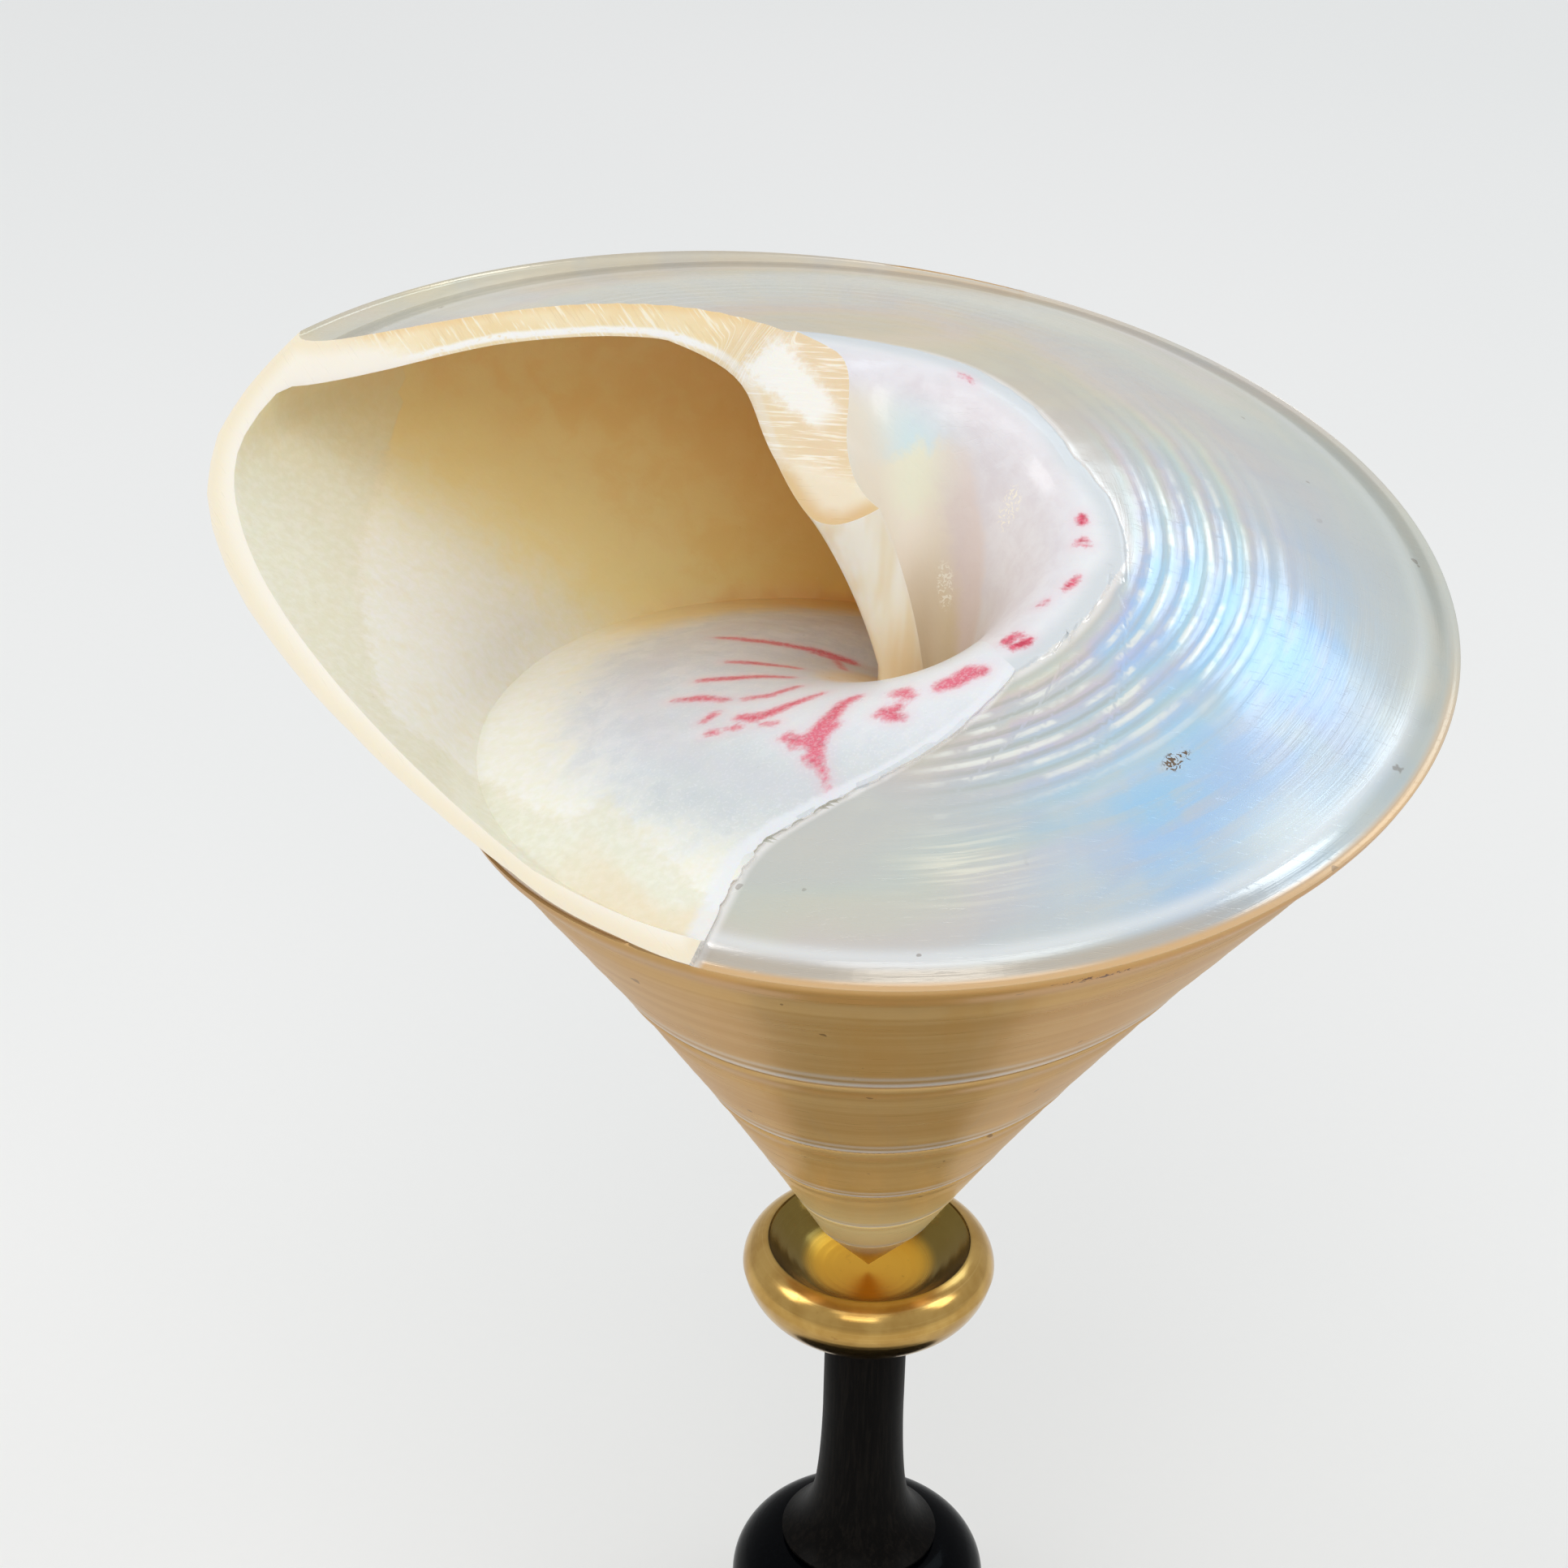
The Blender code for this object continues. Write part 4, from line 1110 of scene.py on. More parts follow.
def nacre_base():
    f = Finish("nacre_base")
    rho, layer, th = f.attr("across"), f.attr("layer"), f.attr("whorl")
    az, rad, z = f.attr("azimuth"), f.attr("radius"), f.attr("own_z")
    marks = f.attr("marks")
    deg = f.m('MULTIPLY', az, 180.0 / math.pi)
    # coordinates along and across the growth: arcs in mm along, parts of the radius across
    flow = f.vec(f.m('MULTIPLY', th, 9.0), f.m('MULTIPLY', rho, 40.0), 0.0)
    fine = f.noise(f.stretch(flow, 0.25, 1.6, 1.0), 1.0, 4.0, 0.6, 0.4)
    cloud = f.noise(f.stretch(flow, 0.16, 0.10, 1.0), 1.0, 3.0, 0.55, 0.6)
    rays = f.noise(f.vec(f.add(f.mul(th, 7.0), f.mul(rho, 2.4)), f.mul(rho, 1.3), 4.0), 1.0, 3.0, 0.6, 0.3)
    # broad tints round the base, and two patches of painted blue sheen
    far = f.step(deg, 20.0, 95.0)
    left = f.step(deg, -72.0, -104.0)
    streak = f.noise(f.vec(f.mul(th, 2.2), f.mul(rho, 30.0), 3.0), 1.0, 3.0, 0.6, 0.5)
    # painted blue sheen: two soft patches on the right of the base, streaked along the grooves
    painted_sheen_patch_a = f.mul(f.hump(deg, -17.0, 25.0), f.step(rho, 0.38, 0.44), f.step(rho, 0.96, 0.66))
    painted_sheen_patch_b = f.mul(f.hump(deg, -44.0, 22.0), f.hump(rho, 0.76, 0.22))
    painted_blue_sheen = f.mul(f.m('MAXIMUM', painted_sheen_patch_a, painted_sheen_patch_b), f.add(0.50, f.mul(f.step(streak, 0.30, 0.62), 0.50), f.mul(f.step(rays, 0.35, 0.65), 0.35)))
    body = f.mix(far, srgb(204, 206, 198), srgb(218, 208, 180))
    body = f.mix(f.mul(f.step(rays, 0.42, 0.62), 0.35), body, srgb(194, 198, 196))
    body = f.mix(f.mul(left, 0.8), body, srgb(206, 204, 192))
    body = f.mix(f.mul(f.step(rho, 0.62, 0.42), f.add(0.25, f.mul(far, 0.6))), body, srgb(212, 194, 164))
    body = f.mix(f.m('MULTIPLY', painted_blue_sheen, 1.1, clamp=True), body, srgb(158, 206, 244))
    body = f.mix(f.mul(f.step(cloud, 0.45, 0.75), 0.30), body, srgb(232, 230, 218))
    # painted iridescent sheen: hues riding on the grooves, a faint run of hues all over, a violet patch near the rim
    painted_sheen_hue = f.m('FRACT', f.add(f.mul(rho, 15.0), f.mul(rays, 0.7)))
    where = f.mul(f.step(rho, 0.385, 0.42), f.step(rho, 0.74, 0.55), f.step(deg, -88.0, -55.0), f.step(deg, 55.0, 20.0))
    body = f.mix(f.mul(where, 0.28), body, iridescence(f, painted_sheen_hue))
    # painted faint iridescent sheen all over the base
    painted_soft_sheen_hue = f.m('FRACT', f.add(f.mul(rho, 2.6), f.mul(cloud, 1.6), f.mul(th, 0.30)))
    body = f.mix(0.12, body, iridescence(f, painted_soft_sheen_hue))
    # painted violet sheen near the rim
    painted_violet_sheen = f.mul(f.hump(deg, -28.0, 9.0), f.hump(rho, 0.80, 0.08), f.step(rays, 0.35, 0.6))
    body = f.mix(f.mul(painted_violet_sheen, 0.35), body, srgb(200, 196, 232))
    # painted highlights along the grooves' crests, and painted shade in the troughs between them
    ridge, broken = f.attr("crest"), f.noise(f.vec(f.mul(th, 6.0), f.mul(rho, 12.0), 7.0), 1.0, 3.0, 0.55, 0.4)
    painted_crest_highlights = f.mul(f.step(ridge, 0.0, 0.95), f.step(broken, 0.42, 0.60), f.step(rho, 0.395, 0.43), f.step(rho, 0.72, 0.56), f.step(deg, -92.0, -76.0), f.step(deg, 40.0, 5.0))
    body = f.mix(f.mul(painted_crest_highlights, 0.8), body, srgb(248, 250, 242))
    # painted shade in the grooves' troughs
    painted_groove_shade = f.mul(f.step(ridge, -0.2, -0.95), f.step(rho, 0.395, 0.43), f.step(rho, 0.70, 0.54), f.step(deg, -92.0, -70.0), f.step(deg, 60.0, 20.0))
    body = f.mix(f.mul(painted_groove_shade, f.add(0.20, f.mul(f.step(deg, -30.0, -50.0), 0.30))), body, srgb(176, 180, 166))
    # painted highlight on the base near the rim, on the right
    bright = f.mul(f.hump(deg, -38.0, 9.0), f.hump(rho, 0.90, 0.07))
    body = f.mix(f.mul(bright, 0.8), body, srgb(234, 244, 246))
    glints = f.mul(f.hump(deg, -80.0, 8.0), f.hump(rho, 0.76, 0.07), f.step(f.noise(f.vec(f.mul(th, 3.0), f.mul(rho, 90.0), 9.0), 1.0, 2.0, 0.5), 0.46, 0.64))
    body = f.mix(f.mul(glints, 0.65), body, srgb(246, 244, 226))
    # rounded rim: a painted highlight along its crest, stronger at the front; beyond it beige, then the gold of the
    # rim's underside
    front = f.step(deg, 10.0, -30.0)
    body = f.mix(f.mul(f.hump(rho, 0.937, 0.017), f.add(0.15, f.mul(front, 0.45))), body, srgb(242, 246, 248))
    body = f.mix(f.mul(f.step(rho, 0.950, 0.972), f.add(0.05, f.mul(f.step(deg, -40.0, -62.0), 0.80))), body, srgb(206, 196, 180))
    body = f.mix(f.mul(f.step(rho, 0.982, 1.0), f.add(0.05, f.mul(front, 0.80))), body, srgb(224, 180, 120))
    # the natural layer: white band, lilac-pink funnel, and beside the columella a pearly patch that is a painted
    # highlight
    speck = f.noise(f.place(), 0.5, 4.0, 0.6, 0.3)
    small = f.noise(f.place(), 1.8, 3.0, 0.6)
    white = f.mix(f.mul(f.step(speck, 0.4, 0.7), 0.6), srgb(238, 240, 242), srgb(226, 228, 236))
    funnel = f.step(rho, 0.335, 0.26)
    lilac = f.mix(f.step(speck, 0.35, 0.65), srgb(228, 221, 226), srgb(236, 232, 236))
    white = f.mix(f.mul(funnel, 0.9), white, lilac)
    # painted highlight beside the columella: cream, with a cyan rim higher up
    pearl = f.mul(f.hump(deg, 88.0, 17.0), f.step(rad, 12.5, 9.5), f.step(z, 62.5, 67.5))
    painted_highlight_hue = f.add(z, f.mul(f.m('SUBTRACT', speck, 0.5), 5.0))
    painted_pearl_highlight = f.mix(f.step(painted_highlight_hue, 66.0, 69.5), srgb(250, 240, 222), srgb(248, 247, 222))
    painted_pearl_highlight = f.mix(f.step(painted_highlight_hue, 71.0, 73.0), painted_pearl_highlight, srgb(222, 243, 247))
    deepen = f.step(z, 64.0, 54.0)
    white = f.mix(f.mul(deepen, 0.6), white, srgb(240, 228, 216))
    turn_on = f.add(deg, f.mul(f.m('SUBTRACT', z, 63.0), -3.0), f.mul(f.m('SUBTRACT', speck, 0.5), 14.0))
    close = f.step(rad, 12.5, 9.5)
    tongue = f.mul(f.step(turn_on, 33.0, 42.0), close, f.step(z, 73.5, 71.5))
    white = f.mix(f.mul(tongue, 0.55), white, srgb(232, 210, 200))
    valley = f.mul(f.step(turn_on, 52.0, 68.0), close)
    white = f.mix(f.mul(valley, 0.85), white, f.mix(f.step(z, 67.0, 59.0), srgb(244, 232, 208), srgb(228, 211, 176)))
    # the painted highlight goes on top
    white = f.mix(f.m('MULTIPLY', pearl, 0.95, clamp=True), white, painted_pearl_highlight)
    cracks = f.noise(f.place(), 2.6, 2.0, 0.5, 1.5)
    flecks = f.m('MAXIMUM', f.mul(f.hump(deg, 38.0, 5.0), f.hump(rad, 10.0, 0.8)), f.mul(f.hump(deg, 62.0, 6.0), f.hump(rad, 6.9, 0.5)))
    crackle = f.mul(f.step(cracks, 0.53, 0.57), f.step(flecks, 0.2, 0.6), 0.85)
    white = f.mix(crackle, white, srgb(255, 248, 232))
    inside = f.step(f.add(layer, f.mul(f.m('SUBTRACT', small, 0.5), 0.5)), -0.05, 0.10)
    colour = f.mix(inside, body, white)
    # the thinned, glassy edge of that layer
    thin = f.mul(f.step(f.add(layer, f.mul(f.m('SUBTRACT', speck, 0.5), 1.2)), 2.4, 0.6), inside, f.step(rho, 0.42, 0.39))
    colour = f.mix(f.mul(thin, 0.8), colour, srgb(212, 219, 223))
    # painted highlight on the polished base just outside the layer's edge
    painted_edge_highlight = f.mul(f.step(layer, -0.9, -0.15), f.m('SUBTRACT', 1.0, inside))
    colour = f.mix(f.mul(painted_edge_highlight, 0.75), colour, srgb(250, 248, 246))
    # carmine blotches of the natural layer
    ragged = f.add(marks, f.mul(f.m('SUBTRACT', f.noise(f.place(), 2.6, 3.0, 0.65), 0.5), 0.75))
    lines = f.noise(f.vec(f.mul(th, 46.0), f.mul(rho, 26.0), 1.0), 1.0, 2.0, 0.5)
    stain = f.step(ragged, -0.32, 0.34)
    pinkish = f.mix(f.step(f.add(small, f.mul(ragged, 0.25)), 0.40, 0.68), PINK, DEEP_PINK)
    colour = f.mix(f.mul(f.step(marks, -1.1, 0.1), 0.22, inside), colour, srgb(244, 196, 208))
    colour = f.mix(f.mul(stain, f.add(0.98, f.mul(f.step(lines, 0.52, 0.66), -0.40))), colour, pinkish)
    # specks of dirt
    dirt_field = f.noise(f.place(), 2.2, 4.0, 0.7)
    d1 = f.mul(f.step(f.mul(f.hump(deg, -43.7, 2.4), f.hump(rad, 28.1, 0.65)), 0.15, 0.45), f.step(f.noise(f.stretch(f.place(), 1.0, 1.0, 0.3), 2.1, 2.0, 0.5, 1.2), 0.53, 0.56))
    d2 = f.mul(f.step(f.noise(f.place(), 0.55, 2.0, 0.4), 0.735, 0.755), f.step(rho, 0.75, 0.85))
    colour = f.mix(f.m('MAXIMUM', d1, f.mul(d2, 0.5)), colour, srgb(112, 92, 72))
    f.set(Base_Color=colour)
    f.set(Metallic=f.mul(f.m('SUBTRACT', 1.0, inside), 0.18))
    rough = f.add(0.16, f.mul(inside, 0.16), f.mul(f.step(fine, 0.4, 0.8), 0.06), f.mul(stain, 0.05))
    f.set(Roughness=rough, IOR=1.62, Subsurface_Weight=0.12, Subsurface_Scale=0.0025)
    f.bsdf.inputs["Subsurface Radius"].default_value = (1.0, 0.8, 0.6)
    f.set(Coat_Weight=0.25, Coat_Roughness=0.07, Coat_IOR=1.5)
    tracks = f.noise(f.stretch(flow, 0.5, 7.0, 1.0), 1.0, 3.0, 0.6)
    scratch = f.noise(f.stretch(f.place(), 0.25, 5.0, 1.0), 1.4, 2.0, 0.5)
    height = f.add(f.mul(tracks, 0.6), f.mul(f.step(scratch, 0.64, 0.70), -0.35), f.mul(small, inside, 0.5))
    turned_down = f.mul(f.step(rho, 0.925, 1.0), f.step(rho, 0.925, 1.0), -1.0)
    f.set(Normal=f.bump(height, 0.035, 0.6, below=f.bump(turned_down, 0.9, 1.0)))
    return f.mat


def nacre_side():
    f = Finish("nacre_side")
    u, th, z, rad, az = f.attr("across"), f.attr("whorl"), f.attr("own_z"), f.attr("radius"), f.attr("azimuth")
    deg = f.m('MULTIPLY', az, 180.0 / math.pi)
    flow = f.vec(f.mul(th, 3.0), f.mul(u, 9.0), 0.0)
    bands = f.noise(f.stretch(flow, 0.10, 1.0, 1.0), 1.0, 4.0, 0.65, 0.2)
    growth = f.noise(f.vec(f.mul(th, 5.5), f.mul(u, 0.9), 2.0), 1.0, 3.0, 0.6, 0.4)
    fine = f.noise(f.stretch(flow, 0.5, 5.0, 1.0), 1.0, 3.0, 0.6)
    gold = f.mix(f.step(bands, 0.34, 0.66), srgb(212, 166, 98), srgb(226, 184, 118))
    gold = f.mix(f.mul(f.step(growth, 0.50, 0.72), 0.45), gold, srgb(218, 166, 90))
    gold = f.mix(f.mul(f.step(growth, 0.46, 0.28), 0.35), gold, srgb(204, 172, 122))
    gold = f.mix(f.mul(f.step(fine, 0.58, 0.75), 0.12), gold, srgb(236, 204, 150))
    # brighter and paler towards the apex: partly the apex's own pale colour, partly painted light over the shade of the
    # cup
    gold = f.mix(f.mul(f.step(z, 30.0, 8.0), 0.45), gold, srgb(232, 190, 108))
    gold = f.mix(f.mul(f.step(z, 14.0, 5.0), 0.8), gold, srgb(252, 228, 164))
    gold = f.mix(f.mul(f.step(z, 3.5, 0.5), 0.85), gold, srgb(255, 242, 206))
    # suture: pale double line
    line1 = f.hump(u, 0.036, 0.020)
    line2 = f.hump(u, 0.100, 0.020)
    shade = f.m('MAXIMUM', f.hump(u, 0.002, 0.010), f.mul(f.hump(u, 0.068, 0.010), 0.6))
    gold = f.mix(f.mul(line1, 0.85), gold, srgb(240, 234, 222))
    gold = f.mix(f.mul(line2, 0.55), gold, srgb(234, 224, 204))
    gold = f.mix(f.mul(shade, 0.5), gold, srgb(140, 108, 74))
    # the last whorl under its rim: golden bead, then the white rounded rim
    last = f.step(th, THETA_END - 2.0 * math.pi - 0.02, THETA_END - 2.0 * math.pi + 0.02)
    bead = f.mul(f.step(u, 0.82, 0.90), last)
    gold = f.mix(f.mul(bead, 0.8), gold, srgb(224, 172, 100))
    edge_noise = f.mul(f.m('SUBTRACT', f.noise(f.place(), 0.25, 3.0, 0.6), 0.5), 0.03)
    colour = f.mix(f.mul(f.step(f.add(u, edge_noise), 0.96, 1.0), last, 0.25), gold, srgb(236, 206, 160))
    dirt_field = f.noise(f.place(), 1.5, 4.0, 0.7)
    near = f.mul(f.hump(deg, -68.0, 9.0), f.hump(u, 0.945, 0.035), last)
    dirt = f.m('MAXIMUM', f.mul(f.step(f.mul(dirt_field, near), 0.38, 0.45), f.step(f.noise(f.place(), 2.6, 2.0, 0.5, 0.8), 0.49, 0.55)), f.mul(f.step(f.noise(f.place(), 0.6, 2.0, 0.4), 0.75, 0.765), 0.6))
    colour = f.mix(1.0, colour, f.mix(f.step(z, 14.0, 5.0), srgb(236, 239, 246), srgb(255, 255, 255)), 'MULTIPLY')
    colour = f.mix(dirt, colour, srgb(98, 66, 42))
    f.set(Base_Color=colour, Metallic=0.32)
    f.set(Roughness=f.add(0.25, f.mul(fine, 0.07)), IOR=1.42, Specular_IOR_Level=0.20, Subsurface_Weight=0.15, Subsurface_Scale=0.003)
    f.bsdf.inputs["Specular Tint"].default_value = srgb(206, 158, 96)
    f.bsdf.inputs["Subsurface Radius"].default_value = (1.0, 0.7, 0.4)
    f.set(Coat_Weight=0.04, Coat_Roughness=0.08, Coat_IOR=1.4)
    height = f.add(f.mul(fine, 0.4), f.mul(bands, 0.5))
    f.set(Normal=f.bump(height, 0.030, 0.35))
    return f.mat


def nacre_hollow():
    f = Finish("nacre_hollow")
    rho, layer, above = f.attr("across"), f.attr("layer"), f.attr("above")
    az, rad, z, lip, marks = f.attr("azimuth"), f.attr("radius"), f.attr("own_z"), f.attr("lip"), f.attr("marks")
    th = f.attr("whorl")
    deg = f.m('MULTIPLY', th, 180.0 / math.pi)
    speck = f.noise(f.place(), 0.35, 4.0, 0.6, 0.4)
    small = f.noise(f.place(), 1.3, 4.0, 0.65)
    tiny = f.noise(f.place(), 4.0, 2.0, 0.6)
    cream = f.mix(f.step(small, 0.35, 0.70), srgb(249, 249, 234), srgb(253, 253, 246))
    cream = f.mix(f.mul(f.step(speck, 0.50, 0.72), 0.35), cream, srgb(244, 234, 204))
    # light falls off to amber towards the inner turn of the whorl
    border = f.add(deg, f.mul(f.m('SUBTRACT', 66.0, z), 0.9), f.mul(f.m('SUBTRACT', speck, 0.5), 16.0), f.mul(f.step(z, 61.0, 72.0), -16.0))
    amber_f = f.step(border, 166.0, 130.0)
    amber = f.mix(f.step(speck, 0.35, 0.65), srgb(248, 217, 156), srgb(251, 224, 168))
    amber = f.mix(f.step(deg, 126.0, 90.0), amber, srgb(238, 196, 122))
    amber = f.mix(f.mul(f.step(tiny, 0.62, 0.72), 0.10), amber, srgb(250, 228, 182))
    colour = f.mix(amber_f, cream, amber)
    colour = f.mix(f.mul(f.hump(border, 150.0, 12.0), 0.6), colour, srgb(255, 226, 152))
    # on the floor the natural layer of the whorl before shows, bluish white
    ground = f.step(f.add(above, f.mul(f.m('SUBTRACT', small, 0.5), 1.6)), 2.2, 0.4)
    parietal = f.mul(ground, f.step(f.add(rho, f.mul(f.m('SUBTRACT', speck, 0.5), 0.12)), 0.86, 0.66), f.step(deg, 78.0, 104.0))
    veil = f.mix(f.step(speck, 0.36, 0.66), srgb(220, 226, 233), srgb(231, 235, 240))
    veil = f.mix(f.mul(f.step(deg, 205.0, 228.0), f.step(rad, 14.0, 22.0), 0.6), veil, srgb(208, 214, 212))
    veil = f.mix(f.mul(f.step(deg, 190.0, 225.0), f.step(rad, 21.0, 13.0), 0.75), veil, srgb(238, 240, 243))
    veil = f.mix(f.mul(f.step(tiny, 0.52, 0.66), 0.25), veil, srgb(248, 249, 251))
    veil = f.mix(f.mul(f.step(rho, 0.66, 0.60), f.step(rho, 0.52, 0.58), 0.35), veil, srgb(218, 218, 226))
    colour = f.mix(parietal, colour, veil)
    # outside the growth line: tan translucent lip
    stray = f.add(lip, f.mul(f.m('SUBTRACT', small, 0.5), 1.6))
    lipf = f.mul(f.step(stray, 0.6, -0.8), f.step(rad, 25.5, 28.0))
    strip = f.mix(f.step(small, 0.35, 0.7), srgb(234, 233, 212), srgb(241, 241, 224))
    strip = f.mix(f.mul(f.step(deg, 216.0, 234.0), f.step(lip, -1.6, -3.4), 0.5), strip, srgb(240, 212, 160))
    colour = f.mix(f.mul(lipf, f.add(0.75, f.mul(amber_f, -0.60))), colour, strip)
    lineg = f.mul(f.hump(stray, 0.0, 0.55), f.step(rad, 25.5, 28.0))
    colour = f.mix(f.mul(lineg, 0.15), colour, srgb(230, 216, 186))
    # broken white edge of the layer
    brk = f.add(layer, f.mul(f.m('SUBTRACT', small, 0.5), 1.1))
    colour = f.mix(f.mul(f.step(brk, 2.1, 1.1), f.step(deg, 180.0, 200.0), f.step(rad, 13.0, 15.0), 0.7), colour, srgb(240, 243, 248))
    # the columella: smooth ivory with lighter vertical streaks painted as highlights, warmer below
    twist = f.noise(f.stretch(f.place(), 0.45, 0.45, 0.05), 1.0, 2.0, 0.5)
    ivory = f.mix(f.step(twist, 0.38, 0.62), srgb(244, 228, 198), srgb(253, 246, 232))
    ivory = f.mix(f.mul(f.step(z, 64.0, 56.0), 0.5), ivory, srgb(232, 206, 164))
    colour = f.mix(f.m('MAXIMUM', f.mul(f.attr("leg"), f.step(rad, 12.0, 9.0)), f.step(rad, 7.5, 5.0)), colour, ivory)
    # carmine streaks
    ragged = f.add(marks, f.mul(f.m('SUBTRACT', f.noise(f.place(), 2.4, 3.0, 0.65), 0.5), 0.70))
    stain = f.step(ragged, -0.42, 0.40)
    colour = f.mix(f.mul(f.step(marks, -1.4, 0.1), 0.28), colour, srgb(246, 204, 214))
    colour = f.mix(f.mul(stain, f.add(0.88, f.mul(f.step(tiny, 0.45, 0.65), -0.25))), colour, f.mix(f.step(small, 0.46, 0.74), PINK, DEEP_PINK))
    f.set(Base_Color=colour)
    f.set(Roughness=f.add(0.24, f.mul(small, 0.12)), IOR=1.5, Subsurface_Weight=0.35, Subsurface_Scale=0.004)
    f.bsdf.inputs["Subsurface Radius"].default_value = (1.0, 0.7, 0.40)
    f.set(Coat_Weight=0.2, Coat_Roughness=0.12)
    height = f.add(f.mul(small, 0.5), f.mul(tiny, 0.10), f.mul(speck, 1.2))
    f.set(Normal=f.bump(height, 0.06, 0.5))
    return f.mat


def sawn_face():
    f = Finish("nacre_sawn")
    d_in, d_out = f.attr("to_hollow"), f.attr("to_outside")
    z, rad, az = f.attr("own_z"), f.attr("radius"), f.attr("azimuth")
    p = f.split(f.place())
    near_axis = f.step(rad, 22.0, 17.0)
    across = f.add(f.mul(p[0], f.add(0.83, f.mul(near_axis, -0.58))), f.mul(p[1], f.add(0.55, f.mul(near_axis, 0.43))))
    along = f.add(f.mul(p[0], f.add(-0.55, f.mul(near_axis, -0.43))), f.mul(p[1], f.add(0.83, f.mul(near_axis, -0.58))))
    saw = f.noise(f.vec(f.mul(across, 4.2), f.mul(along, 0.22), 1.0), 1.0, 3.0, 0.6)
    deepsaw = f.noise(f.vec(f.mul(across, 1.3), f.mul(along, 0.10), 5.0), 1.0, 2.0, 0.6)
    small = f.noise(f.place(), 1.6, 4.0, 0.65)
    soft = f.noise(f.place(), 0.22, 2.0, 0.5)
    tan = f.mix(f.step(soft, 0.35, 0.7), srgb(240, 216, 170), srgb(246, 228, 192))
    tan = f.mix(f.mul(f.step(d_out, 0.9, 0.0), 0.55), tan, srgb(236, 196, 136))
    tan = f.mix(f.mul(f.step(saw, 0.55, 0.64), 0.65), tan, srgb(253, 247, 232))
    tan = f.mix(f.mul(f.step(saw, 0.42, 0.34), 0.30), tan, srgb(216, 188, 144))
    # bright nacre line next to the hollow
    wobble = f.mul(f.m('SUBTRACT', soft, 0.5), 0.9)
    inner = f.add(d_in, wobble)
    line = f.mul(f.step(inner, 0.15, 0.45), f.step(inner, 1.15, 0.75))
    tan = f.mix(f.mul(line, f.step(small, 0.25, 0.45), 0.95), tan, srgb(252, 250, 244))
    ivory = f.mul(f.step(rad, 24.0, 17.0), 0.75)
    tan = f.mix(ivory, tan, f.mix(f.step(saw, 0.50, 0.62), srgb(232, 210, 176), srgb(250, 240, 224)))
    pearl = f.step(f.add(z, f.mul(f.m('SUBTRACT', small, 0.5), 0.8)), 73.6, 72.4)
    tan = f.mix(pearl, tan, f.mix(f.step(d_out, 0.3, 2.0), srgb(246, 232, 206), srgb(252, 243, 228)))
    tan = f.mix(f.mul(pearl, f.step(rad, 17.0, 15.0)), tan, f.mix(f.step(inner, 0.1, 1.8), srgb(224, 190, 140), srgb(240, 226, 200)))
    deg = f.m('MULTIPLY', az, 180.0 / math.pi)
    patch = f.mul(f.step(f.add(rad, f.mul(f.m('SUBTRACT', small, 0.5), 3.0)), 19.5, 18.0), f.step(rad, 9.0, 11.0), f.step(f.hump(f.add(deg, f.mul(f.m('SUBTRACT', small, 0.5), 7.0)), 130.5, 6.5), 0.10, 0.7))
    tan = f.mix(f.mul(patch, 0.9), tan, srgb(250, 248, 242))
    f.set(Base_Color=tan, Roughness=f.add(0.40, f.mul(saw, 0.15), f.mul(pearl, -0.18)), IOR=1.55, Subsurface_Weight=0.3, Subsurface_Scale=0.004)
    f.bsdf.inputs["Subsurface Radius"].default_value = (1.0, 0.7, 0.4)
    f.set(Coat_Weight=0.3, Coat_Roughness=0.15)
    f.set(Normal=f.bump(f.mul(f.add(f.mul(saw, 0.8), f.mul(deepsaw, 0.8)), f.add(1.0, f.mul(pearl, -0.9))), 0.10, 0.8))
    return f.mat


def brass():
    f = Finish("turned_brass")
    p = f.split(f.place())
    r = f.m('SQRT', f.add(f.mul(p[0], p[0]), f.mul(p[1], p[1])))
    ang = f.m('ARCTAN2', p[1], p[0])
    turn = f.noise(f.vec(f.mul(r, 7.0), f.mul(p[2], 7.0), f.mul(ang, 0.25)), 1.0, 3.0, 0.6)
    broad = f.noise(f.place(), 0.30, 3.0, 0.6)
    small = f.noise(f.place(), 1.8, 3.0, 0.6)
    col = f.mix(f.step(broad, 0.36, 0.66), srgb(184, 145, 78), srgb(200, 163, 94))
    col = f.mix(f.mul(f.step(turn, 0.55, 0.72), 0.30), col, srgb(228, 198, 132))
    # painted shade and dark reflection: the upper inner wall of the cup is darkened to olive
    inside = f.mul(f.step(r, 8.9, 8.5), f.step(p[2], CUP_RIM_Z - 3.6, CUP_RIM_Z - 3.0))
    col = f.mix(f.mul(inside, 0.85), col, srgb(112, 96, 46))
    floor = f.step(p[2], CUP_RIM_Z - 2.4, CUP_RIM_Z - 3.2)
    bottom = f.mul(floor, f.step(r, 8.9, 8.5))
    col = f.mix(f.mul(bottom, 0.9), col, srgb(246, 188, 66))
    tarnish = f.step(f.noise(f.place(), 0.8, 4.0, 0.7), 0.62, 0.75)
    col = f.mix(f.mul(tarnish, 0.35), col, srgb(140, 96, 44))
    f.set(Base_Color=col, Metallic=1.0)
    f.set(Roughness=f.add(0.14, f.mul(turn, 0.09), f.mul(tarnish, 0.10), f.mul(bottom, 0.18)))
    f.set(Normal=f.bump(f.add(turn, f.mul(small, 0.1)), 0.012, 0.6))
    return f.mat


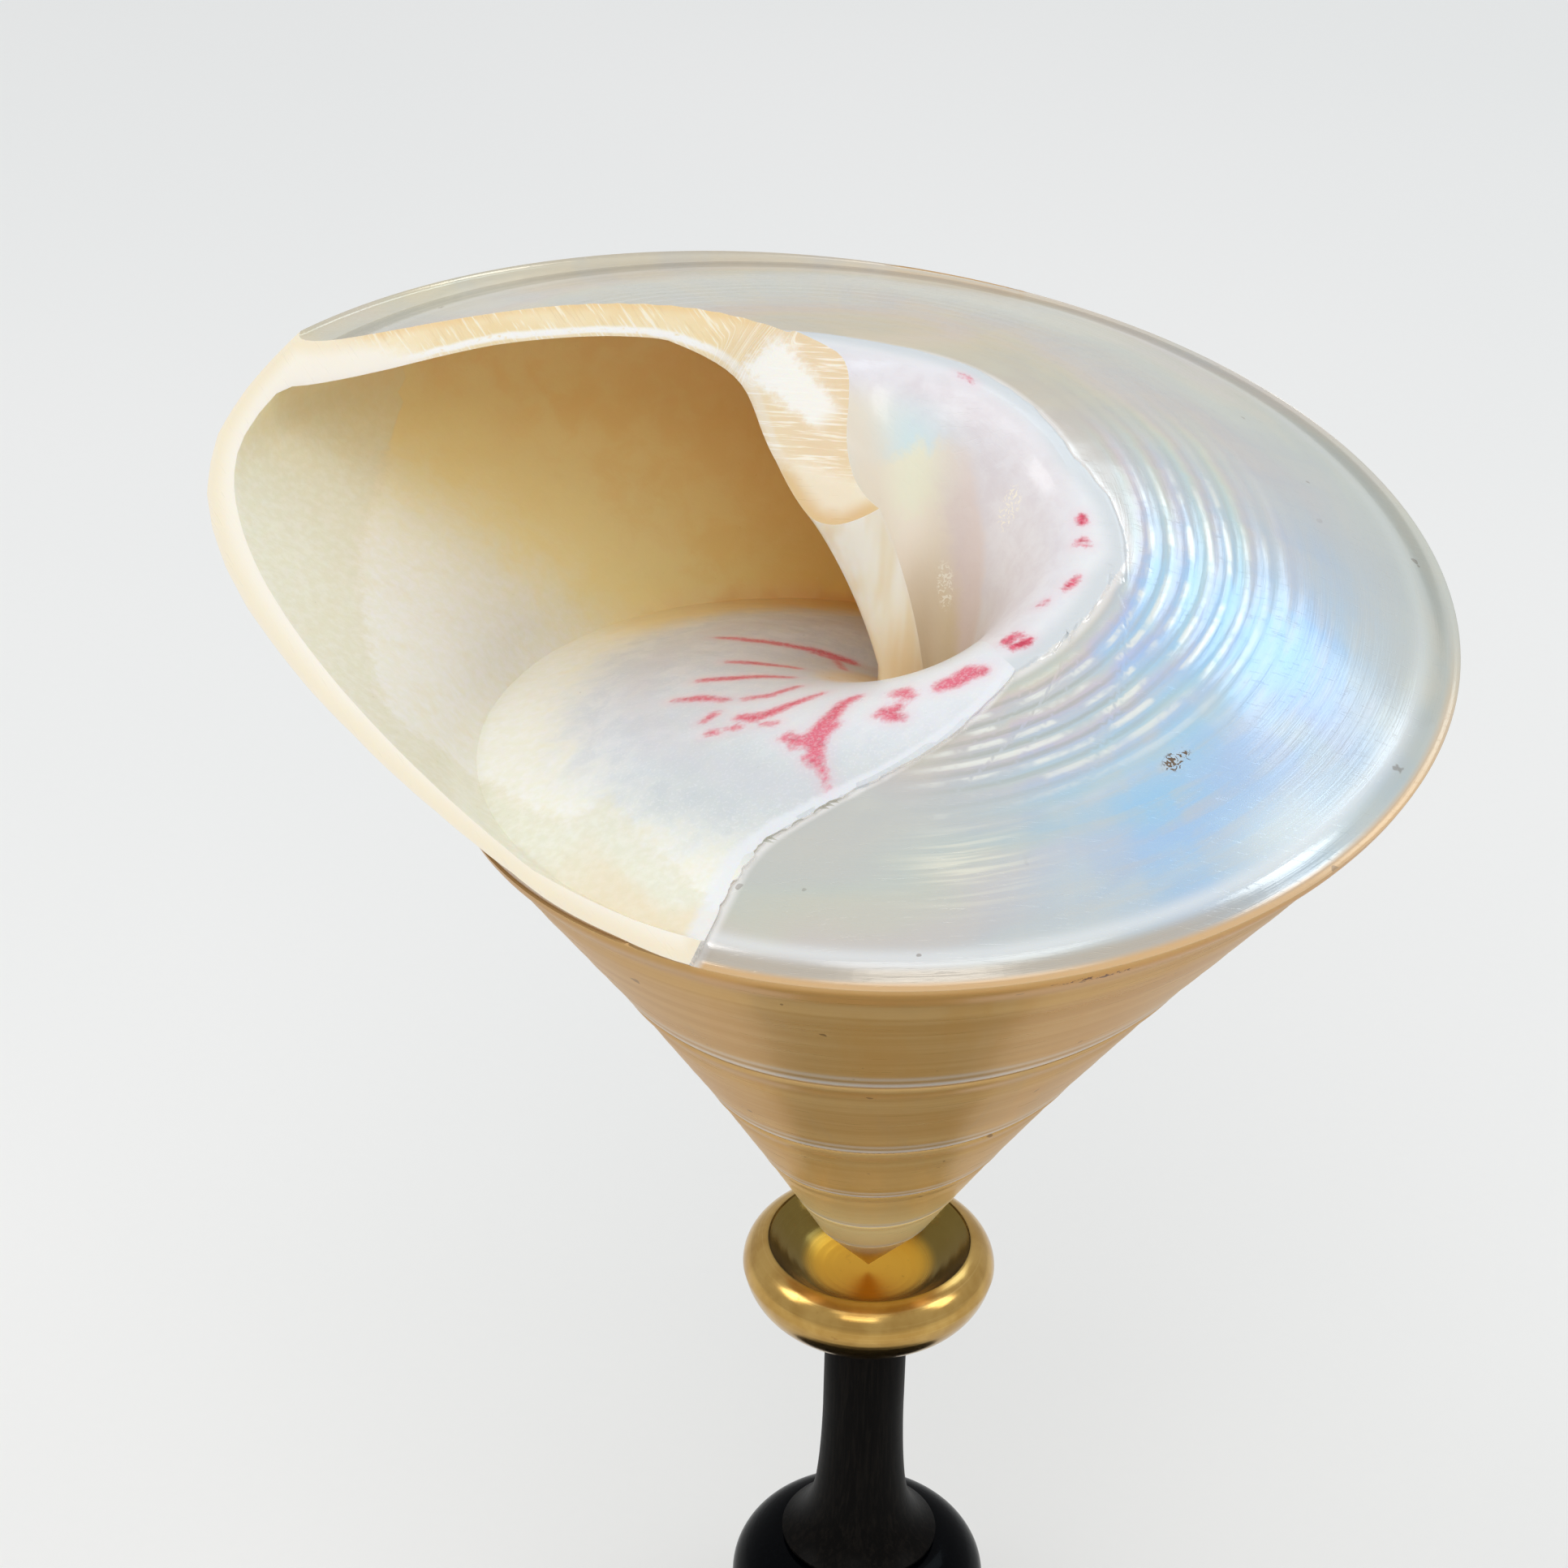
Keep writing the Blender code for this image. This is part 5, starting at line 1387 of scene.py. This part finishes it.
def black(name, base, sheen_tint, rough, coat, coat_rough, grain):
    f = Finish(name)
    p = f.split(f.place())
    r = f.m('SQRT', f.add(f.mul(p[0], p[0]), f.mul(p[1], p[1])))
    ang = f.m('ARCTAN2', p[1], p[0])
    turn = f.noise(f.vec(f.mul(r, 3.0), f.mul(p[2], 3.0), f.mul(ang, 0.4)), 1.0, 3.0, 0.6)
    wood = f.noise(f.stretch(f.place(), 2.4, 2.4, 0.16), 1.0, 4.0, 0.65, 0.6)
    dust = f.noise(f.place(), 3.4, 3.0, 0.7)
    col = f.mix(f.mul(f.step(wood, 0.42, 0.70), grain), base, sheen_tint)
    col = f.mix(f.mul(f.step(dust, 0.72, 0.80), 0.12), col, srgb(90, 88, 84))
    f.set(Base_Color=col, Roughness=f.add(rough, f.mul(turn, 0.10), f.mul(f.step(dust, 0.66, 0.76), 0.15)), IOR=1.5)
    f.set(Coat_Weight=coat, Coat_Roughness=coat_rough, Coat_IOR=1.3, Specular_IOR_Level=0.02)
    f.set(Normal=f.bump(f.add(f.mul(turn, 0.6), f.mul(wood, 0.8)), 0.03, 0.5))
    return f.mat


def ground():
    f = Finish("pale_ground")
    p = f.place()
    broad = f.noise(p, 0.004, 2.0, 0.5)
    fine = f.noise(p, 0.8, 2.0, 0.5)
    col = f.mix(f.step(broad, 0.3, 0.7), srgb(246, 247, 246), srgb(249, 249, 248))
    col = f.mix(f.mul(fine, 0.05), col, srgb(226, 226, 226))
    f.set(Base_Color=col, Roughness=0.9, IOR=1.3)
    return f.mat


# ---------------------------------------------------------------- pieces
shell = cut_shell()
surface = mark_places(shell)
shell.data.transform(Matrix.Diagonal((0.9977, 0.9977, 1.0, 1.0)))      # its relief stays inside the solid's own box
shell.data.materials.clear()
for mat in (nacre_side(), nacre_base(), nacre_hollow(), sawn_face()):
    shell.data.materials.append(mat)
shell.data.polygons.foreach_set("material_index", surface)

cup = turned("brass_cup_turned", cup_profile(), 160)
stem = turned("stem_turned", stem_profile(), 96)
knop = turned("knop_turned", knop_profile(), 144)
foot = turned("foot_turned", foot_profile(), 176)
cup.data.materials.append(brass())
stem.data.materials.append(black("satin_stem", srgb(12, 11, 10), srgb(26, 23, 20), 0.38, 0.06, 0.25, 0.7))
knop.data.materials.append(black("gloss_knop", srgb(2, 3, 5), srgb(7, 9, 13), 0.14, 0.08, 0.05, 0.4))
foot.data.materials.append(black("gloss_foot", srgb(2, 3, 5), srgb(7, 9, 13), 0.16, 0.08, 0.06, 0.4))

for piece, node, finish_slot in ((shell, "shell", "nacre"), (cup, "brass_cup", "brass"), (stem, "stem", "satin_black"),
                                 (knop, "knop", "gloss_black"), (foot, "foot", "gloss_black_foot")):
    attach(piece, "root")
    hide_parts(node)

# ---------------------------------------------------------------- floor, light, camera
bm = bmesh.new()
bmesh.ops.create_grid(bm, x_segments=2, y_segments=2, size=6.0)
mesh = bpy.data.meshes.new("ground")
bm.to_mesh(mesh)
bm.free()
floor = bpy.data.objects.new("ground", mesh)
bpy.context.scene.collection.objects.link(floor)
floor.data.materials.append(ground())


def panel(name, place, aim, size, watts, colour):
    data = bpy.data.lights.new(name, 'AREA')
    data.shape = 'RECTANGLE'
    data.size, data.size_y = size
    data.energy = watts
    data.color = colour
    obj = bpy.data.objects.new(name, data)
    bpy.context.scene.collection.objects.link(obj)
    obj.location = place
    obj.rotation_mode = 'QUATERNION'
    obj.rotation_quaternion = (Vector(aim) - Vector(place)).to_track_quat('-Z', 'Y')
    return obj


panel("window_back_right", (0.43, 0.47, 0.85), (0.02, 0.0, 0.14), (0.28, 0.34), 0.62, (0.72, 0.88, 1.0))
panel("overhead", (-0.05, -0.38, 0.98), (0.0, 0.0, 0.12), (0.60, 0.40), 1.0, (1.0, 1.0, 1.0))
panel("left", (-0.72, -0.08, 0.80), (0.0, 0.0, 0.10), (0.30, 0.40), 1.5, (1.0, 0.99, 0.97))
panel("right", (0.74, -0.10, 0.76), (0.0, 0.0, 0.10), (0.28, 0.38), 1.15, (1.0, 0.99, 0.97))
panel("front_fill", (-0.10, -0.80, 0.90), (0.0, 0.0, 0.12), (0.50, 0.25), 1.0, (1.0, 0.98, 0.95))

world = bpy.data.worlds.new("soft_room")
bpy.context.scene.world = world
world.use_nodes = True
sky = world.node_tree.nodes["Background"] if "Background" in world.node_tree.nodes else world.node_tree.nodes.new("ShaderNodeBackground")
sky.inputs[0].default_value = (0.985, 0.99, 1.0, 1.0)
sky.inputs[1].default_value = 0.64

# the camera looks down on the cup by about 38 degrees, a little to the right of the stem
f_px, half = 5000.0, 966.0
e, roll, dist = math.radians(38.2), math.radians(2.21), 39.76 * 8.8
centre = np.array([0.0, -math.cos(e), math.sin(e)]) * dist
w = -centre / dist
right = np.array([1.0, 0.0, 0.0])
up = np.cross(right, w)
up /= np.linalg.norm(up)
R = np.stack([right, -up, w])
t = np.array([105.3 / f_px, 557.9 / f_px, 1.0])
t /= np.linalg.norm(t)
v = np.cross(np.array([0.0, 0.0, 1.0]), t)
s = np.linalg.norm(v)
k = v / s
K = np.array([[0.0, -k[2], k[1]], [k[2], 0.0, -k[0]], [-k[1], k[0], 0.0]])
Q = np.eye(3) + s * K + (1.0 - t[2]) * K @ K
Z = np.array([[math.cos(roll), -math.sin(roll), 0.0], [math.sin(roll), math.cos(roll), 0.0], [0.0, 0.0, 1.0]])
M = Q @ Z @ R
cam_data = bpy.data.cameras.new("camera")
cam_data.sensor_width = 36.0
cam_data.lens = f_px / (2.0 * half) * 36.0
cam_data.clip_start = 0.01
camera = bpy.data.objects.new("camera", cam_data)
bpy.context.scene.collection.objects.link(camera)
mw = np.eye(4)
mw[:3, 0], mw[:3, 1], mw[:3, 2] = M[0], -M[1], -M[2]
mw[:3, 3] = (centre + np.array([0.0, 0.0, CUP_RIM_Z])) * MM
camera.matrix_world = Matrix(mw.tolist())
bpy.context.scene.camera = camera

bpy.context.scene.view_settings.view_transform = 'Standard'
bpy.context.scene.view_settings.look = 'None'

print("SLOTS", np.bincount(surface))
print("TRIANGLES", {o.name: sum(len(p.vertices) - 2 for p in o.data.polygons) for o in (shell, cup, stem, knop, foot)})
